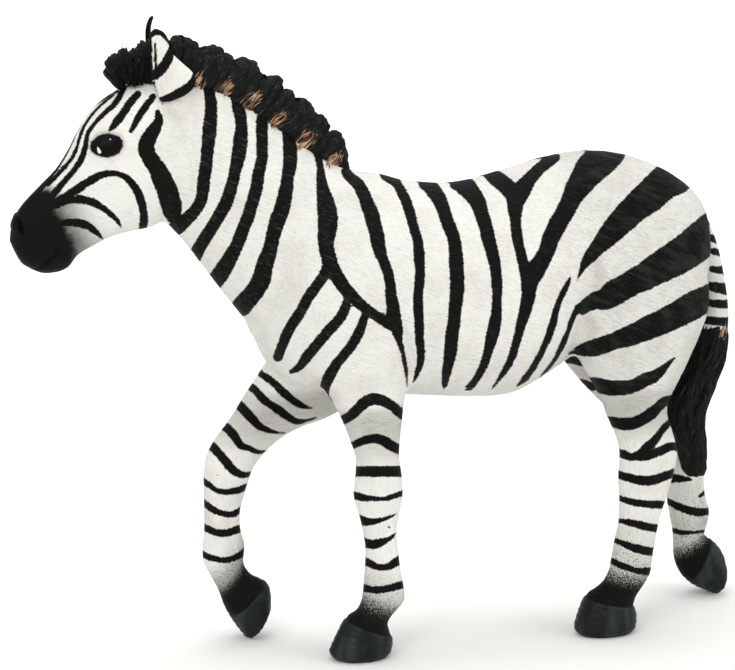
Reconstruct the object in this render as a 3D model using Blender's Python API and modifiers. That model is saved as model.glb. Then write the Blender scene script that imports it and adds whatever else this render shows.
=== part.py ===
"""Toy zebra figure: solid moulded pieces, pegged together and painted by hand.

The animal faces -X, its left side faces -Y and it stands on z = 0.
Its left legs are planted; its right legs are flexed and stand on their toes.
"""

from math import cos, pi, radians, sin

import bmesh
import bpy
from mathutils import Vector

# Driving dimensions in metres.
CHEST_X = -0.0285
BACK_HEIGHT = 0.0905
TRUNK_LENGTH = 0.0880
TRUNK_DEPTH = 0.0440
TRUNK_WIDTH = 0.0310
NECK_LENGTH = 0.0400
NECK_DEPTH = 0.0300
NECK_WIDTH = 0.0170
HEAD_LENGTH = 0.0350
HEAD_DEPTH = 0.0240
HEAD_WIDTH = 0.0136
EYE_RADIUS = 0.0036
NOSTRIL_RADIUS = 0.0009
FORE_LEG_DEPTH = 0.0120
FORE_LEG_WIDTH = 0.0088
HIND_LEG_DEPTH = 0.0120
HIND_LEG_WIDTH = 0.0092
HOOF_LENGTH = 0.0116
HOOF_WIDTH = 0.0092
TAIL_LENGTH = 0.0540
TAIL_DEPTH = 0.0080
TAIL_WIDTH = 0.0062
MANE_HEIGHT = 0.0062
MANE_WIDTH = 0.0068
FORELOCK_HEIGHT = 0.0094
FORELOCK_LENGTH = 0.0092
FORELOCK_WIDTH = 0.0068
EAR_LENGTH = 0.0120
EAR_BREADTH = 0.0078
EAR_THICKNESS = 0.0019

# Fits: round pegs on one piece glued into blind sockets in the next.
CLEARANCE = 0.0003
LEG_PEG_RADIUS = 0.0020
LEG_PEG_LENGTH = 0.0045
NECK_PEG_RADIUS = 0.0045
NECK_PEG_LENGTH = 0.0080
TAIL_PEG_RADIUS = 0.0012
TAIL_PEG_LENGTH = 0.0035
HAIR_PEG_RADIUS = 0.0010
HAIR_PEG_LENGTH = 0.0022
EAR_PEG_RADIUS = 0.0007
EAR_PEG_LENGTH = 0.0020

BODY_RING_POINTS = 16
NECK_RING_POINTS = 12
LIMB_RING_POINTS = 8
PEG_SIDES = 16

# Trunk: along its length, top and bottom as drops below the back, half width.
TRUNK_SHARES = (
    (0.015, 0.500, 0.760, 0.150),
    (0.060, 0.300, 0.850, 0.300),
    (0.140, 0.120, 0.930, 0.395),
    (0.240, 0.040, 0.965, 0.445),
    (0.350, 0.085, 0.985, 0.480),
    (0.460, 0.105, 1.010, 0.500),
    (0.560, 0.065, 1.010, 0.500),
    (0.650, 0.020, 0.960, 0.485),
    (0.740, 0.000, 0.900, 0.465),
    (0.830, 0.030, 0.860, 0.430),
    (0.915, 0.110, 0.810, 0.360),
    (0.975, 0.205, 0.700, 0.250),
    (1.010, 0.310, 0.580, 0.130),
)

# Neck, from the trunk to the poll: crest edge and throat edge, each along and
# across the neck, then the half width.
NECK_ROOT_SHARES = (0.131, 0.384)
NECK_PITCH = 41.0
NECK_SEAM_SHARE = 0.060
NECK_SHARES = (
    (-0.130, 0.650, -0.240, -0.580, 0.670),
    (0.060, 0.580, -0.060, -0.580, 0.660),
    (0.235, 0.510, 0.070, -0.530, 0.575),
    (0.420, 0.495, 0.200, -0.495, 0.495),
    (0.610, 0.480, 0.340, -0.455, 0.425),
    (0.780, 0.460, 0.480, -0.410, 0.365),
    (0.920, 0.400, 0.590, -0.390, 0.330),
    (1.000, 0.245, 0.690, -0.385, 0.310),
    (1.090, 0.070, 0.780, -0.330, 0.250),
)

# Head, from the poll to the lips: brow edge and jaw edge, each along and
# across the head, then the half width.
POLL_SHARE = 0.893
HEAD_PITCH = -42.0
HEAD_SHARES = (
    (-0.330, -0.010, -0.200, -0.260, 0.300),
    (-0.215, 0.300, -0.090, -0.230, 0.365),
    (-0.095, 0.400, 0.085, -0.390, 0.440),
    (0.040, 0.465, 0.235, -0.475, 0.485),
    (0.175, 0.480, 0.355, -0.460, 0.495),
    (0.285, 0.445, 0.445, -0.375, 0.450),
    (0.390, 0.390, 0.545, -0.300, 0.370),
    (0.495, 0.350, 0.640, -0.240, 0.315),
    (0.595, 0.345, 0.725, -0.195, 0.290),
    (0.690, 0.340, 0.825, -0.215, 0.300),
    (0.800, 0.325, 0.915, -0.165, 0.270),
    (0.895, 0.270, 0.970, -0.050, 0.205),
)
EYE_SHARES = (0.250, 0.285, 0.165)
NOSTRIL_SHARES = (0.790, 0.220, 0.200)

# Legs, from inside the trunk down to the pastern: height, sway towards the
# tail, half depth, half width and pitch in degrees, raised at the front.
TRACK_SHARE = 0.555
FORE_ROOT_SHARE = 0.2307
HIND_ROOT_SHARE = 0.8182
LEFT_FORE_SHARES = (
    (1.450, -0.084, 0.830, 0.600, 0),
    (1.250, -0.056, 0.770, 0.600, 0),
    (1.130, -0.026, 0.670, 0.560, 2),
    (1.035, 0.000, 0.530, 0.500, 2),
    (0.960, 0.014, 0.440, 0.450, 0),
    (0.830, 0.033, 0.340, 0.380, 0),
    (0.745, 0.036, 0.360, 0.380, 0),
    (0.670, 0.035, 0.380, 0.380, 0),
    (0.590, 0.040, 0.315, 0.330, 0),
    (0.500, 0.045, 0.260, 0.280, 0),
    (0.400, 0.053, 0.265, 0.280, 0),
    (0.285, 0.058, 0.325, 0.330, 0),
    (0.225, 0.052, 0.325, 0.330, 4),
    (0.180, 0.012, 0.285, 0.320, 8),
)
RIGHT_FORE_SHARES = (
    (1.500, -0.060, 0.830, 0.600, 20),
    (1.250, -0.110, 0.800, 0.600, 25),
    (1.015, -0.193, 0.690, 0.560, 32),
    (0.950, -0.292, 0.530, 0.510, 30),
    (0.883, -0.365, 0.440, 0.450, 27),
    (0.815, -0.430, 0.400, 0.400, 24),
    (0.745, -0.476, 0.380, 0.380, 15),
    (0.670, -0.493, 0.355, 0.370, 8),
    (0.560, -0.506, 0.290, 0.310, 2),
    (0.470, -0.509, 0.265, 0.280, 0),
    (0.395, -0.503, 0.300, 0.300, 0),
    (0.335, -0.503, 0.320, 0.320, -3),
    (0.275, -0.478, 0.270, 0.310, -12),
    (0.225, -0.447, 0.285, 0.320, -25),
)
LEFT_HIND_SHARES = (
    (1.560, 0.011, 1.000, 0.600, 0),
    (1.340, 0.005, 1.130, 0.660, -3),
    (1.185, -0.010, 1.030, 0.640, -3),
    (1.070, -0.006, 0.800, 0.580, -2),
    (0.975, 0.005, 0.590, 0.500, 0),
    (0.870, 0.030, 0.480, 0.420, 0),
    (0.790, 0.056, 0.485, 0.390, 0),
    (0.725, 0.063, 0.490, 0.370, 0),
    (0.650, 0.049, 0.440, 0.350, 0),
    (0.560, 0.038, 0.380, 0.310, 0),
    (0.450, 0.020, 0.335, 0.290, 0),
    (0.350, 0.000, 0.340, 0.300, 0),
    (0.260, -0.013, 0.350, 0.320, 0),
    (0.200, -0.047, 0.320, 0.320, 5),
)
RIGHT_HIND_SHARES = (
    (1.560, 0.020, 1.000, 0.600, 0),
    (1.340, 0.010, 1.080, 0.660, -5),
    (1.190, 0.030, 0.960, 0.640, -8),
    (1.063, 0.070, 0.760, 0.560, -10),
    (0.972, 0.108, 0.610, 0.490, -14),
    (0.888, 0.168, 0.500, 0.430, -20),
    (0.813, 0.247, 0.435, 0.390, -23),
    (0.745, 0.333, 0.440, 0.370, -23),
    (0.670, 0.387, 0.440, 0.360, -22),
    (0.590, 0.396, 0.370, 0.330, -18),
    (0.500, 0.395, 0.325, 0.300, -10),
    (0.405, 0.405, 0.330, 0.300, -3),
    (0.330, 0.413, 0.310, 0.310, -4),
    (0.255, 0.414, 0.265, 0.300, -14),
    (0.205, 0.424, 0.310, 0.320, -33),
)
LEG_SEAM_ROWS = (3, 4)

# Hooves: the coronet's and the sole's height, sway and pitch like the leg's,
# then the sole's length as a share of the hoof's.
LEFT_FORE_HOOF_SHARES = ((0.127, -0.015, 15), (-0.030, -0.046, 0), 1.00)
RIGHT_FORE_HOOF_SHARES = ((0.172, -0.409, -41), (0.047, -0.340, -60), 0.78)
LEFT_HIND_HOOF_SHARES = ((0.136, -0.107, 8), (-0.030, -0.122, 0), 1.03)
RIGHT_HIND_HOOF_SHARES = ((0.143, 0.477, -51), (0.060, 0.577, -80), 0.76)
CORONET_SHARE = 0.76
HOOF_STEP_SHARES = (0.00, 0.12, 0.24, 0.62, 1.00)
HOOF_SWELL_SHARES = (0.92, 1.02, 1.00, 1.00, 1.00)

# Tail: down its length and towards the head, then half depth and half width.
TAIL_ROOT_SHARES = (1.008, 0.260)
TAIL_SEAT_SHARE = 0.065
TAIL_SHARES = (
    (0.000, 0.120, 0.160, 0.260),
    (0.045, 0.018, 0.290, 0.340),
    (0.130, -0.020, 0.265, 0.340),
    (0.240, -0.041, 0.265, 0.340),
    (0.350, -0.055, 0.265, 0.340),
    (0.430, -0.056, 0.275, 0.360),
    (0.500, -0.044, 0.360, 0.430),
    (0.575, -0.022, 0.425, 0.480),
    (0.660, 0.015, 0.500, 0.500),
    (0.725, 0.037, 0.490, 0.500),
    (0.815, 0.037, 0.415, 0.460),
    (0.890, 0.026, 0.375, 0.400),
    (0.940, 0.018, 0.310, 0.330),
    (0.985, 0.004, 0.150, 0.170),
)

# Mane: along the neck's crest, height above it and half width.
MANE_SHARES = (
    (0.120, 0.300, 0.330),
    (0.180, 0.720, 0.430),
    (0.270, 0.920, 0.480),
    (0.400, 0.980, 0.500),
    (0.550, 1.000, 0.500),
    (0.700, 1.000, 0.500),
    (0.840, 0.980, 0.480),
    (0.930, 1.050, 0.450),
    (0.985, 1.180, 0.420),
    (1.040, 1.220, 0.400),
)
MANE_ROOT_SHARE = 0.450
MANE_PEG_SHARES = (0.260, 0.520, 0.780)

# Forelock: forward from the mane, its foot and its top, then the half width.
FORELOCK_ROOT_SHARES = (0.000, 0.275)
FORELOCK_SHARES = (
    (-0.120, 0.060, 0.960, 0.380),
    (0.080, 0.020, 0.990, 0.420),
    (0.320, 0.000, 1.000, 0.480),
    (0.620, 0.020, 0.900, 0.500),
    (0.860, 0.160, 0.760, 0.420),
    (1.000, 0.330, 0.590, 0.250),
)
FORELOCK_SEAM_SHARE = 0.060
FORELOCK_PEG_SHARE = 0.420

# Ears: up the ear, front and rear edge about its middle, half thickness and
# outward bow. Then each ear's foot, back and up from the poll and out from the
# middle plane, and its splay, backward lean and turn in degrees.
EAR_SHARES = (
    (-0.180, -0.300, 0.200, 0.500, 0.000),
    (0.000, -0.420, 0.260, 0.500, 0.200),
    (0.180, -0.460, 0.440, 0.450, 0.500),
    (0.380, -0.470, 0.540, 0.420, 0.600),
    (0.600, -0.480, 0.400, 0.400, 0.500),
    (0.820, -0.500, 0.080, 0.360, 0.250),
    (1.000, -0.510, -0.280, 0.250, 0.000),
)
LEFT_EAR_FOOT_SHARES = (-0.044, 0.250, 0.330)
LEFT_EAR_ANGLES = (11, 0, 0)
RIGHT_EAR_FOOT_SHARES = (0.020, 0.300, 0.500)
RIGHT_EAR_ANGLES = (-12, 9, 70)
EAR_PEG_SHARE = 0.080

for old in list(bpy.data.objects):
    bpy.data.objects.remove(old)

figure = bpy.data.collections.new("toy_zebra_figure")
guides = bpy.data.collections.new("cutters")
bpy.context.scene.collection.children.link(figure)
bpy.context.scene.collection.children.link(guides)


def paint(thing, colour, roughness):
    """Give a piece its own coat of paint."""
    material = bpy.data.materials.new(thing.name + "_paint")
    material.use_nodes = True
    shader = material.node_tree.nodes["Principled BSDF"]
    shader.inputs["Base Color"].default_value = (*colour, 1.0)
    shader.inputs["Roughness"].default_value = roughness
    shader.inputs["Metallic"].default_value = 0.0
    thing.data.materials.clear()
    thing.data.materials.append(material)


def add(mesh, name, collection):
    """Put a mesh in the scene as a named object."""
    thing = bpy.data.objects.new(name, mesh)
    collection.objects.link(thing)
    if collection is guides:
        thing.hide_render = True
        thing.display_type = "WIRE"
    return thing


def section(front, rear, half_width, y=0.0, bow=0.0):
    """A section between two edge points of the side view, at one y."""
    return Vector((front.x, y, front.z)), Vector((rear.x, y, rear.z)), half_width, bow


def section_points(span, count, margin):
    """The cage points round one section, swollen so that its smooth form fits."""
    front, rear, half_width, bow = span
    centre = (front + rear) / 2
    reach = (front - rear) / 2
    swell = 3 / (2 + cos(2 * pi / count))
    stretch = swell + margin / reach.length
    points = []
    for step in range(count):
        turn = 2 * pi * step / count
        side = (half_width * swell + margin) * sin(turn)
        bend = bow * sin(turn) ** 2
        points.append(centre + reach * stretch * cos(turn) + Vector((0, side + bend, 0)))
    return points


def loft(name, spans, count, collection, margin=0.0):
    """A closed skin over a row of sections, smoothed once."""
    cage = bmesh.new()
    rows = []
    for span in spans:
        rows.append([cage.verts.new(p) for p in section_points(span, count, margin)])
    for row, after in zip(rows, rows[1:]):
        for i in range(count):
            j = (i + 1) % count
            cage.faces.new((row[i], row[j], after[j], after[i]))
    cage.faces.new(rows[0])
    cage.faces.new(rows[-1])
    bmesh.ops.recalc_face_normals(cage, faces=cage.faces)
    mesh = bpy.data.meshes.new(name)
    cage.to_mesh(mesh)
    cage.free()
    mesh.shade_smooth()
    thing = add(mesh, name, collection)
    smooth = thing.modifiers.new("Smooth form", "SUBSURF")
    smooth.levels = 1
    smooth.render_levels = 1
    return thing


def ball(name, centre, radius):
    """A round form at a point."""
    shape = bmesh.new()
    bmesh.ops.create_uvsphere(shape, u_segments=PEG_SIDES, v_segments=8, radius=radius)
    mesh = bpy.data.meshes.new(name)
    shape.to_mesh(mesh)
    shape.free()
    thing = add(mesh, name, guides)
    thing.location = centre
    return thing


def cylinder(name, start, end, radius):
    """A round peg or bore between two points."""
    shape = bmesh.new()
    axis = end - start
    bmesh.ops.create_cone(
        shape,
        cap_ends=True,
        segments=PEG_SIDES,
        radius1=radius,
        radius2=radius,
        depth=axis.length,
    )
    mesh = bpy.data.meshes.new(name)
    shape.to_mesh(mesh)
    shape.free()
    thing = add(mesh, name, guides)
    thing.rotation_mode = "QUATERNION"
    thing.rotation_quaternion = Vector((0, 0, 1)).rotation_difference(axis)
    thing.location = (start + end) / 2
    return thing


def half_space(name, point, normal):
    """A block with one face through a point; it fills the side of the normal."""
    shape = bmesh.new()
    bmesh.ops.create_cube(shape, size=2 * TRUNK_LENGTH)
    mesh = bpy.data.meshes.new(name)
    shape.to_mesh(mesh)
    shape.free()
    block = add(mesh, name, guides)
    block.rotation_mode = "QUATERNION"
    block.rotation_quaternion = Vector((0, 0, 1)).rotation_difference(normal)
    block.location = point + normal.normalized() * TRUNK_LENGTH
    return block


def combine(thing, other, operation):
    """Add one Boolean step to an object."""
    step = thing.modifiers.new(other.name, "BOOLEAN")
    step.operation = operation
    step.object = other
    step.solver = "EXACT"


def join(thing, *others):
    """Fuse solids into an object."""
    for other in others:
        combine(thing, other, "UNION")


def cut(thing, *others):
    """Take solids out of an object."""
    for other in others:
        combine(thing, other, "DIFFERENCE")


def peg_and_socket(name, seat, inward, radius, length, giver, taker):
    """Stand a peg on one piece and sink its socket into the next."""
    inward = inward.normalized()
    foot = seat - inward * (radius + CLEARANCE)
    join(giver, cylinder(name + "_peg", foot, seat + inward * length, radius))
    end = seat + inward * (length + CLEARANCE)
    cut(taker, cylinder(name + "_socket", foot, end, radius + CLEARANCE))


# The side views of the trunk, the neck and the head.
def trunk_point(along, drop):
    """A point on the trunk's middle plane, back from the chest, down from the back."""
    return Vector((CHEST_X + along * TRUNK_LENGTH, 0, BACK_HEIGHT - drop * TRUNK_DEPTH))


def pitched_point(root, pitch, along, across):
    """A point forward along an axis raised by its pitch, and up across it."""
    slope = radians(pitch)
    forward = Vector((-cos(slope), 0, sin(slope)))
    upward = Vector((sin(slope), 0, cos(slope)))
    return root + forward * along + upward * across


NECK_ROOT = trunk_point(*NECK_ROOT_SHARES)
POLL = pitched_point(NECK_ROOT, NECK_PITCH, POLL_SHARE * NECK_LENGTH, 0)


def neck_point(along, across):
    return pitched_point(NECK_ROOT, NECK_PITCH, along * NECK_LENGTH, across * NECK_DEPTH)


def head_point(along, across):
    return pitched_point(POLL, HEAD_PITCH, along * HEAD_LENGTH, across * HEAD_DEPTH)


def trunk_spans():
    spans = []
    for along, top, bottom, width in TRUNK_SHARES:
        upper = trunk_point(along, top)
        lower = trunk_point(along, bottom)
        spans.append(section(upper, lower, width * TRUNK_WIDTH))
    return spans


def pitched_spans(rows, place, full_width):
    spans = []
    for top_along, top_across, low_along, low_across, width in rows:
        upper = place(top_along, top_across)
        lower = place(low_along, low_across)
        spans.append(section(upper, lower, width * full_width))
    return spans


def trunk_skin(name, collection=guides, margin=0.0):
    return loft(name, trunk_spans(), BODY_RING_POINTS, collection, margin)


def neck_skin(name, collection=guides, margin=0.0):
    spans = pitched_spans(NECK_SHARES, neck_point, NECK_WIDTH)
    return loft(name, spans, NECK_RING_POINTS, collection, margin)


def head_skin(name, margin=0.0):
    spans = pitched_spans(HEAD_SHARES, head_point, HEAD_WIDTH)
    return loft(name, spans, NECK_RING_POINTS, guides, margin)


# Torso: the barrel and the root of the neck. The stumps of the legs join it below.
neck_forward = neck_point(1, 0) - neck_point(0, 0)
neck_seam = neck_point(NECK_SEAM_SHARE, 0)
torso = trunk_skin("torso", figure)
join(torso, neck_skin("neck_root"))

# Legs: the seams lie just under the belly, and every leg ends on z = 0.
LEG_HEIGHT = BACK_HEIGHT - TRUNK_DEPTH - CLEARANCE * 2
TRACK_WIDTH = TRACK_SHARE * TRUNK_WIDTH
ground = half_space("ground", Vector((0, 0, 0)), Vector((0, 0, -1)))


def leg_section(root_share, side, height, sway, half_depth, half_width, pitch):
    """One section of a leg, level at pitch 0, with its front edge first."""
    x = CHEST_X + root_share * TRUNK_LENGTH + sway * LEG_HEIGHT
    centre = Vector((x, 0, height * LEG_HEIGHT))
    lean = radians(pitch)
    reach = Vector((-cos(lean), 0, sin(lean))) * half_depth
    return section(centre + reach, centre - reach, half_width, side * TRACK_WIDTH / 2)


def leg_spans(root_share, side, rows, depth, width, hoof):
    """The sections of one leg, from inside the trunk to its sole."""
    spans = []
    for height, sway, half_depth, half_width, pitch in rows:
        sizes = (half_depth * depth, half_width * width)
        spans.append(leg_section(root_share, side, height, sway, *sizes, pitch))
    coronet, sole, sole_share = hoof
    for step, swell in zip(HOOF_STEP_SHARES, HOOF_SWELL_SHARES):
        height, sway, pitch = (a + (b - a) * step for a, b in zip(coronet, sole))
        length = (CORONET_SHARE + (sole_share - CORONET_SHARE) * step) * swell
        breadth = (CORONET_SHARE + (1 - CORONET_SHARE) * step) * swell
        sizes = (length * HOOF_LENGTH / 2, breadth * HOOF_WIDTH / 2)
        spans.append(leg_section(root_share, side, height, sway, *sizes, pitch))
    return spans


def leg(name, spans):
    """One leg below its seam, with its stump fused to the torso above it."""
    high, low = ((spans[row][0] + spans[row][1]) / 2 for row in LEG_SEAM_ROWS)
    seam = (high + low) / 2
    inward = (high - low).normalized()
    stump = loft(name + "_stump", spans, LIMB_RING_POINTS, guides)
    cut(stump, half_space(name + "_below", seam, -inward))
    join(torso, stump)
    piece = loft(name, spans, LIMB_RING_POINTS, figure)
    cut(piece, half_space(name + "_above", seam - inward * CLEARANCE, inward), ground)
    return piece, seam, inward


LEFT = -1
RIGHT = 1
fore_sizes = (FORE_LEG_DEPTH, FORE_LEG_WIDTH)
hind_sizes = (HIND_LEG_DEPTH, HIND_LEG_WIDTH)
front_left = leg_spans(
    FORE_ROOT_SHARE, LEFT, LEFT_FORE_SHARES, *fore_sizes, LEFT_FORE_HOOF_SHARES
)
front_right = leg_spans(
    FORE_ROOT_SHARE, RIGHT, RIGHT_FORE_SHARES, *fore_sizes, RIGHT_FORE_HOOF_SHARES
)
rear_left = leg_spans(
    HIND_ROOT_SHARE, LEFT, LEFT_HIND_SHARES, *hind_sizes, LEFT_HIND_HOOF_SHARES
)
rear_right = leg_spans(
    HIND_ROOT_SHARE, RIGHT, RIGHT_HIND_SHARES, *hind_sizes, RIGHT_HIND_HOOF_SHARES
)
legs = [
    leg("front_left_leg", front_left),
    leg("front_right_leg", front_right),
    leg("rear_left_leg", rear_left),
    leg("rear_right_leg", rear_right),
]
cut(torso, half_space("neck_side", neck_seam, neck_forward))
for piece, seam, inward in legs:
    peg_and_socket(piece.name, seam, inward, LEG_PEG_RADIUS, LEG_PEG_LENGTH, piece, torso)

# Head and neck: one piece, pegged into the torso at the root of the neck.
head_neck = neck_skin("head_neck", figure)
join(head_neck, head_skin("head_form"), trunk_skin("chest_form"))
trunk_side = neck_seam + neck_forward.normalized() * CLEARANCE
cut(head_neck, half_space("trunk_side", trunk_side, -neck_forward))
for side, name in ((LEFT, "left"), (RIGHT, "right")):
    along, across, out = EYE_SHARES
    eye = head_point(along, across) + Vector((0, side * out * HEAD_WIDTH, 0))
    join(head_neck, ball(name + "_eye", eye, EYE_RADIUS))
    along, across, out = NOSTRIL_SHARES
    nostril = head_point(along, across) + Vector((0, side * out * HEAD_WIDTH, 0))
    cut(head_neck, ball(name + "_nostril", nostril, NOSTRIL_RADIUS))
peg_and_socket(
    "neck", neck_seam, -neck_forward, NECK_PEG_RADIUS, NECK_PEG_LENGTH, head_neck, torso
)

# Seats: the body's skins grown by the clearance, to carve what sits on them.
neck_seat = neck_skin("neck_seat", margin=CLEARANCE)
head_seat = head_skin("head_seat", margin=CLEARANCE)
trunk_seat = trunk_skin("trunk_seat", margin=CLEARANCE)


def crest(along):
    """A point on the neck's crest and the way that the hair stands there."""
    rows = [(row[0], row[1]) for row in NECK_SHARES]
    for (start, low), (end, high) in zip(rows, rows[1:]):
        if along <= end or end == rows[-1][0]:
            break
    slope = (high - low) / (end - start)
    point = neck_point(along, low + (along - start) * slope)
    run = neck_point(end, high) - neck_point(start, low)
    return point, Vector((run.z, 0, -run.x)).normalized()


# Mane: a ridge along the crest, pegged into it.
mane_spans = []
for along, height, width in MANE_SHARES:
    foot, rise = crest(along)
    top = foot + rise * height * MANE_HEIGHT
    root = foot - rise * MANE_ROOT_SHARE * MANE_HEIGHT
    mane_spans.append(section(top, root, width * MANE_WIDTH))
forelock_root = head_point(0, 0) + Vector((0, 0, FORELOCK_ROOT_SHARES[1] * HEAD_DEPTH))
hair_seam = forelock_root - Vector((FORELOCK_SEAM_SHARE * FORELOCK_LENGTH, 0, 0))
mane = loft("mane", mane_spans, NECK_RING_POINTS, figure)
cut(mane, neck_seat, head_seat, trunk_seat)
cut(mane, half_space("hair_front", hair_seam, Vector((-1, 0, 0))))
for along in MANE_PEG_SHARES:
    foot, rise = crest(along)
    name = "mane_%d" % round(along * 100)
    peg_and_socket(name, foot, -rise, HAIR_PEG_RADIUS, HAIR_PEG_LENGTH, mane, head_neck)

# Forelock: the tuft in front of the mane, between the ears.
forelock_spans = []
for along, low, high, width in FORELOCK_SHARES:
    at = forelock_root - Vector((along * FORELOCK_LENGTH, 0, 0))
    top = at + Vector((0, 0, high * FORELOCK_HEIGHT))
    root = at + Vector((0, 0, low * FORELOCK_HEIGHT))
    forelock_spans.append(section(top, root, width * FORELOCK_WIDTH))
forelock = loft("forelock", forelock_spans, NECK_RING_POINTS, figure)
cut(forelock, head_seat, neck_seat)
behind = hair_seam - Vector((CLEARANCE, 0, 0))
cut(forelock, half_space("hair_rear", behind, Vector((1, 0, 0))))
tuft_foot = forelock_root - Vector((FORELOCK_PEG_SHARE * FORELOCK_LENGTH, 0, 0))
tuft_seat = tuft_foot + Vector((0, 0, FORELOCK_HEIGHT / 4))
down = Vector((0, 0, -1))
peg_and_socket(
    "forelock", tuft_seat, down, HAIR_PEG_RADIUS, HAIR_PEG_LENGTH, forelock, head_neck
)


def ear(name, side, foot_shares, angles):
    """A cupped leaf that stands on its foot on the head, splayed and turned."""
    spans = []
    for height, front, rear, half_thick, bow in EAR_SHARES:
        up = height * EAR_LENGTH
        front_edge = Vector((front * EAR_BREADTH, 0, up))
        rear_edge = Vector((rear * EAR_BREADTH, 0, up))
        sizes = (half_thick * EAR_THICKNESS, 0, side * bow * EAR_THICKNESS)
        spans.append(section(front_edge, rear_edge, *sizes))
    piece = loft(name, spans, LIMB_RING_POINTS, figure)
    back, up, out = foot_shares
    place = Vector((-back * HEAD_LENGTH, side * out * HEAD_WIDTH, up * HEAD_DEPTH))
    piece.location = POLL + place
    piece.rotation_mode = "ZYX"
    piece.rotation_euler = [radians(angle) for angle in angles]
    cut(piece, head_seat, neck_seat)
    seat = piece.location - Vector((EAR_PEG_SHARE * EAR_BREADTH, 0, 0))
    inward = Vector((0, -side, -1))
    peg_and_socket(name, seat, inward, EAR_PEG_RADIUS, EAR_PEG_LENGTH, piece, head_neck)
    return piece


left_ear = ear("left_ear", LEFT, LEFT_EAR_FOOT_SHARES, LEFT_EAR_ANGLES)
right_ear = ear("right_ear", RIGHT, RIGHT_EAR_FOOT_SHARES, RIGHT_EAR_ANGLES)

# Tail: the banded dock and the tuft, pegged into the top of the rump.
tail_root = trunk_point(*TAIL_ROOT_SHARES)
tail_spans = []
for drop, sway, half_depth, half_width in TAIL_SHARES:
    centre = tail_root - Vector((sway, 0, drop)) * TAIL_LENGTH
    reach = Vector((-half_depth * TAIL_DEPTH, 0, 0))
    tail_spans.append(section(centre + reach, centre - reach, half_width * TAIL_WIDTH))
tail = loft("tail", tail_spans, LIMB_RING_POINTS, figure)
cut(tail, trunk_seat)
tail_seat = tail_root - Vector((0, 0, TAIL_SEAT_SHARE * TAIL_LENGTH))
forward = Vector((-1, 0, 0))
peg_and_socket("tail", tail_seat, forward, TAIL_PEG_RADIUS, TAIL_PEG_LENGTH, tail, torso)

WHITE = (0.80, 0.78, 0.74)
BLACK = (0.012, 0.013, 0.014)
for thing in (torso, head_neck, left_ear, right_ear):
    paint(thing, WHITE, 0.55)
for piece, seam, inward in legs:
    paint(piece, WHITE, 0.55)
for thing in (mane, forelock, tail):
    paint(thing, BLACK, 0.50)
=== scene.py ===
"""Toy zebra figure, moulded in solid plastic and painted by hand."""

from math import atan2, cos, pi, radians, sin

import bmesh
import bpy
import numpy as np
from mathutils import Matrix, Vector, noise


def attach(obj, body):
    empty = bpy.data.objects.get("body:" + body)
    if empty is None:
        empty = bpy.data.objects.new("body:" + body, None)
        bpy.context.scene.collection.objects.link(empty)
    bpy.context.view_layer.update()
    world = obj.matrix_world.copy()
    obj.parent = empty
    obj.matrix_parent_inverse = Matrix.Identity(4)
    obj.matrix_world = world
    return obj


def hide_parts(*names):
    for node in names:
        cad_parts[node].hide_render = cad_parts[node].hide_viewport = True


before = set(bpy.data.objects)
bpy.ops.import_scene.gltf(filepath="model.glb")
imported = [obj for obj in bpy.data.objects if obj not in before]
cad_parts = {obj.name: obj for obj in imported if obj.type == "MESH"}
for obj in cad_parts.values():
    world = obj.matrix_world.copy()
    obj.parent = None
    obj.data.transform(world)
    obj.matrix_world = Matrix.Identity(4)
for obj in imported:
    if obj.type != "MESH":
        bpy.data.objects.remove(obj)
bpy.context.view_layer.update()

# Body: torso, head with neck, and four legs, solid plastic cast from one clay
# master that was parted at the neck and high on the legs. The joins are rubbed
# down and painted over, so that no seam shows.
MM = 0.001
MASTER_X = -1.0
VOXEL = 0.48
RING = 48
TRUNK_TAPER = 0.06
GROIN = (34.5, 51)
SINEW_WIDTH = 0.22

# Stations of the master in mm: x and z of the upper or front edge, x and z of
# the lower or rear edge, half width.
TRUNK = (
    (-27.5, 65, -27, 60, 2), (-25.5, 68.5, -25, 56, 5.5), (-22, 76, -21.5, 52, 9.5),
    (-15, 84, -14.5, 49.0, 12.5), (-6, 88.3, -5, 47.6, 13.8), (3, 86.3, 4, 46.8, 14.8),
    (12, 85.6, 13, 45.9, 15.4), (21, 87.3, 21.5, 45.9, 15.4), (30, 89.5, 28.5, 49.1, 15),
    (38.5, 90.2, 35, 52.8, 14.4), (47, 88.5, 44.5, 54.2, 13.6), (54.5, 85.0, 52, 54.8, 11.7),
    (59.5, 80.6, 58, 59.5, 7.8), (61.4, 76.5, 60.8, 64, 3.6),
)
NECK = (
    (8, 84, -12, 48, 11), (1, 85, -20, 54, 11.5), (-6.5, 88.2, -25.5, 59, 11.2),
    (-13, 91.3, -28.6, 63.5, 9.8), (-19, 95.8, -31.8, 67.6, 8.4),
    (-25, 100.5, -35.2, 72.3, 7.2), (-30.5, 104.5, -38.5, 76.8, 6.2),
    (-36, 106.8, -41.5, 80.3, 5.6), (-41.5, 105.5, -44.5, 83, 5.2), (-46, 101.5, -47, 86, 3.5),
)
HEAD = (
    (-35, 104.5, -33.5, 97, 3.5), (-42.5, 107.0, -37, 95, 5), (-47, 106.3, -39, 88, 5.9),
    (-51.5, 104.4, -41.5, 83, 6.4), (-55.3, 101.5, -44.8, 80.5, 6.4),
    (-57.5, 98.3, -48.5, 79.9, 5.9), (-59.4, 94.8, -52.3, 79, 4.9),
    (-61.6, 91.6, -55.6, 77.5, 4.1), (-64, 89.3, -58.2, 76.1, 3.8), (-66.4, 87, -60.2, 73.8, 4.0),
    (-68.6, 84.4, -63.9, 73.2, 3.9), (-69.8, 81.5, -66.3, 74, 2.9),
    (-70.1, 79.3, -68.2, 75.2, 1.6),
)
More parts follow.
